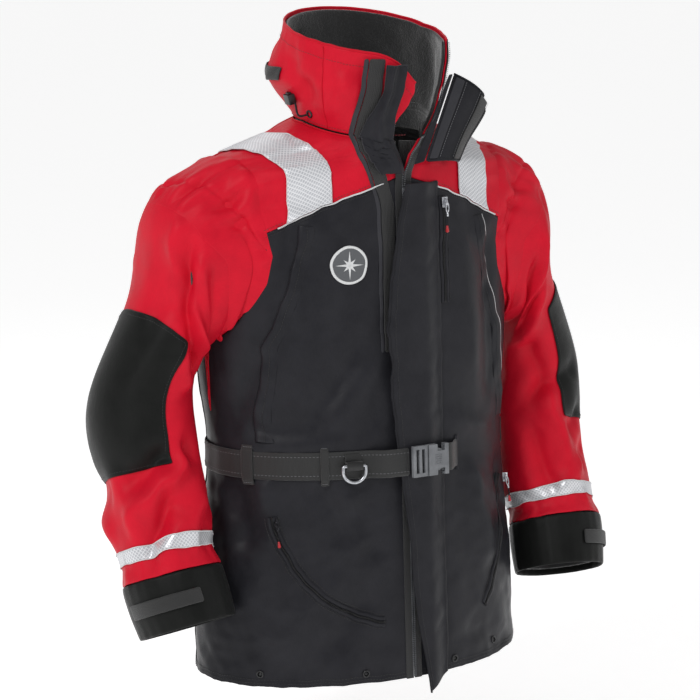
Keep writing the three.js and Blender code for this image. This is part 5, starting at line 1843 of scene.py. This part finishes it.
def make_welted_zip(node, x, z, half):
    """A coil zip between two rounded welts, along a line of side distances and heights."""
    base, normal = line_on(front_at, x, z, lift=0.0)
    along = unit(np.gradient(base, axis=0))
    across = unit(np.cross(along, normal))
    profile = np.array([[-1.5, -0.2], [-1.25, 1.5], [-0.8, 2.2], [-0.35, 1.5], [-0.25, 0.7], [0, 0.6],
                        [0.25, 0.7], [0.35, 1.5], [0.8, 2.2], [1.25, 1.5], [1.5, -0.2]])
    sideways, rise = profile[None, :, :1] * half, profile[None, :, 1:] + 0.4
    points = base[:, None] + across[:, None] * sideways + normal[:, None] * rise
    welt = grid_object(f"{node}_welts", points)
    facing_out(welt, normal.mean(axis=0))
    thicken(welt, 0.8)
    settle(welt, BLACK, node)
    coil = tube_parts(base + normal * 1.3, 1.1, spacing=1.2)
    teeth = stitch_parts(base + normal * 2.0, normal, 1.8, 1.0, 2.6)
    settle(joined(f"{node}_coil", [coil] + teeth), COIL, body="shell", slot="zip")
    rows = [(base + across * (s * half * 1.9) + normal * 0.4, normal) for s in (-1, 1)]
    stitches(f"{node}_stitches", rows, BLACK_THREAD, "shell", "black_cloth")


def facing_out(obj, direction):
    """Turns a mesh's faces round if most look the other way."""
    total = sum((p.normal * p.area for p in obj.data.polygons), Vector())
    if total.dot(Vector(direction)) < 0:
        obj.data.flip_normals()


POCKETS = {
    "right": ((-178, -515), (-126, -622), (-42, -664)),
    "left": ((190, -500), (168, -592), (130, -669)),
}
POCKET_RISE = 3.2


def turned(vector, axis, angle):
    return np.array(Matrix.Rotation(angle, 3, Vector(axis)) @ Vector(vector))


def pocket_arc(hand):
    a, b, c = (on_torso(x, z, POCKET_RISE) for x, z in POCKETS[hand])
    ab, ac = b - a, c - a
    axis = np.cross(ab, ac)
    offset = np.cross(axis, ab) * np.dot(ac, ac) * -1 + np.cross(axis, ac) * np.dot(ab, ab)
    centre = a - offset / (2 * np.dot(axis, axis))
    if np.linalg.norm(np.linalg.norm(a - centre) - np.linalg.norm(c - centre)) > 1:
        centre = a + offset / (2 * np.dot(axis, axis))
    axis = unit(axis)
    arm, last = a - centre, c - centre
    sweep = math.acos(np.dot(unit(arm), unit(last)))
    if np.dot(np.cross(arm, last), axis) < 0:
        sweep = -sweep
    return centre, axis, arm, sweep


def make_pocket_zips():
    for hand in ("right", "left"):
        centre, axis, arm, sweep = pocket_arc(hand)
        turns = np.linspace(0, sweep, 60)
        points = np.array([centre + turned(arm, axis, t) for t in turns])
        make_welted_zip(f"pocket_zip_{hand}", points[:, 0], points[:, 2], 5)
        out = axis if axis[1] < 0 else -axis
        first = sweep * 0.03
        radius = turned(arm, axis, first)
        up = unit(np.cross(axis, radius)) * -np.sign(sweep)
        here = centre + radius + out * 2.6
        # Painted shade: the near (right) pocket's slider and pull get the darker copy of the same metal.
        metal = SHADED_METAL if hand == "right" else METAL
        make_slider(f"pocket_slider_{hand}", Stand(here, up, out), 9, metal)
        pivot = Stand(here + out * 5.4, [0, 0, 1], out)
        make_pull(f"pocket_pull_{hand}", pivot, 9, metal, 11, RED_PLASTIC)


def make_buckle():
    for node in ("buckle_male", "buckle_female", "buckle_prong_upper", "buckle_prong_lower"):
        bevelled(node, BUCKLE, width=0.9)
    turn, at = torso_place(float(BUCKLE_JOINT), float(BELT_Z))
    out = normals_of(torso, turn, at)
    stand = Stand(on_torso(BUCKLE_JOINT, BELT_Z, BUCKLE_LIFT), [0, 0, 1], out)
    grip = []
    for y in np.linspace(-6, 6, 5):
        line = stand.place([[10, y, 9.2], [14, y, 9.4], [20, y, 9.2]])
        grip.append(tube_parts(line, 0.6, spacing=1.0))
    settle(joined("buckle_grip_ribs", grip), BUCKLE, body=BODY_OF["buckle_female"], slot="buckle")


D_RING_X, D_RING_WIDTH, D_RING_DROP, D_RING_WIRE = -82, 36, 27, 2.4


def make_d_ring():
    bevelled("d_ring_keeper", WEBBING, width=0.5)
    turn, at = torso_place(float(D_RING_X), float(BELT_Z))
    out = normals_of(torso, turn, at)
    stand = Stand(on_torso(D_RING_X, BELT_Z, BELT_LIFT + BELT_THICK + 7.2), [0, 0, 1], out)
    wire, half, drop = D_RING_WIRE, D_RING_WIDTH / 2 - D_RING_WIRE, D_RING_DROP - 2 * D_RING_WIRE
    turns = np.linspace(0, -math.pi, 22)
    bend = half * 0.95
    arc = [(half * math.cos(t), -drop + bend + bend * math.sin(t), 0) for t in turns]
    top = [(-half, -1.0, 0), (-half + 1.5, 0, 0), (0, 0, 0), (half - 1.5, 0, 0), (half, -1.0, 0)]
    outline = np.array(arc + top, float)
    ring = ring_parts(stand.place(outline), wire, sides=12)
    obj = joined("d_ring_wire", [ring])
    settle(obj, METAL, "d_ring")


# ---- Small trim ---------------------------------------------------------------------------------
def patch_disc(name, radii, rise, material, sides=64, body="shell", slot_name="badge"):
    """A round patch that follows the cloth; radii run from its middle outwards."""
    angle = np.arange(sides) * 2 * math.pi / sides
    radius = np.asarray(radii, float)[:, None]
    x = BADGE_X + radius * np.cos(angle)[None, :] * 0.97
    z = BADGE_Z + radius * np.sin(angle)[None, :]
    points = front_at(x, z, np.broadcast_to(np.asarray(rise, float)[:, None], x.shape))
    obj = grid_object(name, points, wrap=True, flip=True)
    facing_out(obj, (0, -1, 0))
    thicken(obj, 0.5, levels=1)
    return settle(obj, material, body=body, slot=slot_name)


def make_badge():
    face = patch_disc("badge_face", [0.2, 8, 16, 23], [1.5, 1.5, 1.5, 1.5], GREY_INK)
    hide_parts("badge")
    patch_disc("badge_ring", [22, 22.6, 24, 25.4, 26], [1.4, 2.1, 2.4, 2.1, 1.0], WHITE_INK)
    parts = []
    for point in range(8):
        angle = point * math.pi / 4
        long = 19 if point % 2 == 0 else 11
        tip = (long * math.cos(angle), long * math.sin(angle))
        for side in (-1, 1):
            shoulder = angle + side * math.pi / 8
            corner = (4.2 * math.cos(shoulder), 4.2 * math.sin(shoulder))
            outline = np.array([(0, 0), tip, corner])
            x, z = BADGE_X + outline[:, 0] * 0.97, BADGE_Z + outline[:, 1]
            rise = 2.6 if side > 0 else 2.2
            top = front_at(x, z, np.array([rise, 1.9, 1.9]))
            bottom = front_at(x, z, np.full(3, 1.2))
            faces = [(0, 1, 2), (0, 3, 4, 1), (1, 4, 5, 2), (2, 5, 3, 0), (5, 4, 3)]
            parts.append((np.concatenate([top, bottom]), faces))
    star = joined("badge_star", parts)
    star.data.polygons.foreach_set("use_smooth", [False] * len(star.data.polygons))
    settle(star, WHITE_INK, body="shell", slot="badge")


def make_collar_trim():
    turn = np.radians(np.linspace(-98, -142, 22)) + 2 * math.pi
    height = 0.5 + 0.13 * (np.linspace(0, 1, 6) - 0.5)
    turn, height = np.meshgrid(turn, height)
    tab = grid_object("collar_tab_strap", neck_at(turn, height, 3.0), flip=True)
    thicken(tab, 1.8)
    settle(tab, WEBBING, "collar_tab")
    bevelled("cord_lock_body", BLACK_PLASTIC, width=1.6, segments=4)
    bevelled("cord_lock_button", BLACK_PLASTIC, width=0.8)


def make_hem_eyelets():
    rings, hole_shade = [], []
    for x, z in ((-200, -729), (-70, -732), (70, -732), (160, -727)):
        centre = front_at(float(x), float(z), 1.2)
        out = unit(front_at(float(x), float(z), 2.2) - centre)
        stand = Stand(centre, [0, 0, 1], out)
        rings.append(ring_parts(stand.place(ellipse(0, 4.2, 4.2)), 1.1))
        # Painted shade: a dark disc inside each ring stands for the hole, the jacket's dark inside seen in shade.
        hole_shade.append(tube_parts(stand.place([[0, 0, -0.8], [0, 0, -0.2]]), 3.6, sides=16, spacing=0.5))
    settle(joined("hem_eyelets", rings), BLACK_PLASTIC, body="shell", slot="black_plastic")
    settle(joined("hem_eyelet_hole_shade", hole_shade), COIL, body="shell", slot="black_plastic")


HANDWARMER = [(-150, -140), (-219, -160), (-264, -172), (-290, -185), (-383, -192), (-418, -190)]


def make_handwarmer_edges():
    """The front panels' free side edges, over the hand-warmer pockets."""
    z = np.linspace(-128, -416, 90)
    x = line_smooth(HANDWARMER, z) + 1.8 * np.sin(z / 19)
    for side, hand in HAND.items():
        columns = []
        for offset, rise in ((16, 0.2), (11, 1.0), (6, 2.4), (2, 3.4), (-1, 3.2), (-2.4, 1.6), (-1.5, 0.3)):
            columns.append(front_at(-side * (x + offset), z, np.full(z.shape, rise)))
        points = np.stack(columns, axis=1)
        lip = grid_object(f"handwarmer_edge_{hand}", points)
        facing_out(lip, (0, -1, 0))
        thicken(lip, 1.0)
        settle(lip, BLACK, body="shell", slot="black_cloth")
        base, normal = line_on(front_at, -side * (x + 7), z, lift=2.4)
        stitches(f"handwarmer_stitches_{hand}", [(base, normal)], BLACK_THREAD, "shell", "black_cloth")
        edge = front_at(-side * (x - 2.4), z, 1.8)
        # Painted light: the same piping is light on the far (left) edge and black on the near (right) one, a lit
        # and a shaded copy.
        piping(f"handwarmer_piping_{hand}", [edge], 0.6, PIPING if side > 0 else BLACK, "shell", "black_cloth")


def make_collar_cord():
    """The drawcord's free stretch between its lock and its eyelet."""
    start = plain_collar(-96 + 7, 0.21, 6)
    end = plain_collar(-78, 0.12, 3)
    middle = (start + end) / 2 + plain_collar(-86, 0.2, 9) - plain_collar(-86, 0.2, 4)
    middle = middle - [0, 0, 7]
    s = np.linspace(0, 2, 25)
    path = np.stack([through(np.array([start[k], middle[k], end[k]]), s) for k in range(3)], axis=-1)
    obj = joined("collar_cord_line", [tube_parts(path, 1.4, sides=10, spacing=1.2)])
    settle(obj, BLACK, "collar_cord", slot="black_plastic")
    out = unit(end - plain_collar(-78, 0.12, 1))
    eyelet = ring_parts(Stand(plain_collar(-78, 0.12, 1.2), [0, 0, 1], out).place(ellipse(0, 4.4, 4.4)), 1.3)
    settle(joined("collar_cord_eyelet", [eyelet]), BLACK_PLASTIC, body="shell", slot="black_plastic")


def plain_collar(degrees, height, lift):
    turn = np.array(math.radians(degrees))
    return collar(turn, height) + normals_of(collar, turn, np.array(height)) * lift


make_main_zip()
make_wind_strips()
make_storm_flap()
make_flap_top()
make_belt()
make_straight_zips()
make_pocket_zips()
make_buckle()
make_d_ring()
make_badge()
make_collar_trim()
make_collar_cord()
make_hem_eyelets()
make_handwarmer_edges()


# ---- Stage --------------------------------------------------------------------------------------
def make_stage():
    target = Vector((-0.0059, 0.0034, -0.320))
    azimuth, elevation, distance = math.radians(-30), math.radians(10), 3.4
    back = Vector((math.sin(azimuth) * math.cos(elevation), -math.cos(azimuth) * math.cos(elevation), math.sin(elevation)))
    data = bpy.data.cameras.new("camera")
    data.sensor_width = 36
    data.lens = 126.6
    camera = bpy.data.objects.new("camera", data)
    camera.location = target + back * distance
    camera.rotation_euler = back.to_track_quat("Z", "Y").to_euler()
    bpy.context.scene.collection.objects.link(camera)
    bpy.context.scene.camera = camera
    floor = new_object("floor", [(-9e4, -9e4, -960), (9e4, -9e4, -960), (9e4, 9e4, -960), (-9e4, 9e4, -960)], [(0, 1, 2, 3)])
    floor.data.materials.append(FLOOR)
    world = bpy.data.worlds.new("studio")
    world.use_nodes = True
    world.node_tree.nodes["Background"].inputs["Color"].default_value = (1, 1, 1, 1)
    world.node_tree.nodes["Background"].inputs["Strength"].default_value = 0.46
    bpy.context.scene.world = world
    for name, place, size, power in (
        ("key", (-2.6, -1.5, 2.2), 0.8, 58),
        ("fill", (2.4, -2.6, 1.2), 1.4, 13),
        ("rim", (0.4, 2.6, 1.8), 1.6, 8),
    ):
        lamp = bpy.data.lights.new(name, "AREA")
        lamp.size = size
        lamp.energy = power
        light = bpy.data.objects.new(name, lamp)
        light.location = place
        light.rotation_euler = (Vector(place) - target).to_track_quat("Z", "Y").to_euler()
        bpy.context.scene.collection.objects.link(light)


FLOOR = plastic_material("floor_paper", (250, 250, 250), (246, 246, 246), 0.95, 0.02)
FLOOR.node_tree.nodes["Principled BSDF"].inputs["Emission Color"].default_value = (1, 1, 1, 1)
FLOOR.node_tree.nodes["Principled BSDF"].inputs["Emission Strength"].default_value = 0.5
make_stage()
bpy.context.scene.view_settings.view_transform = "Standard"
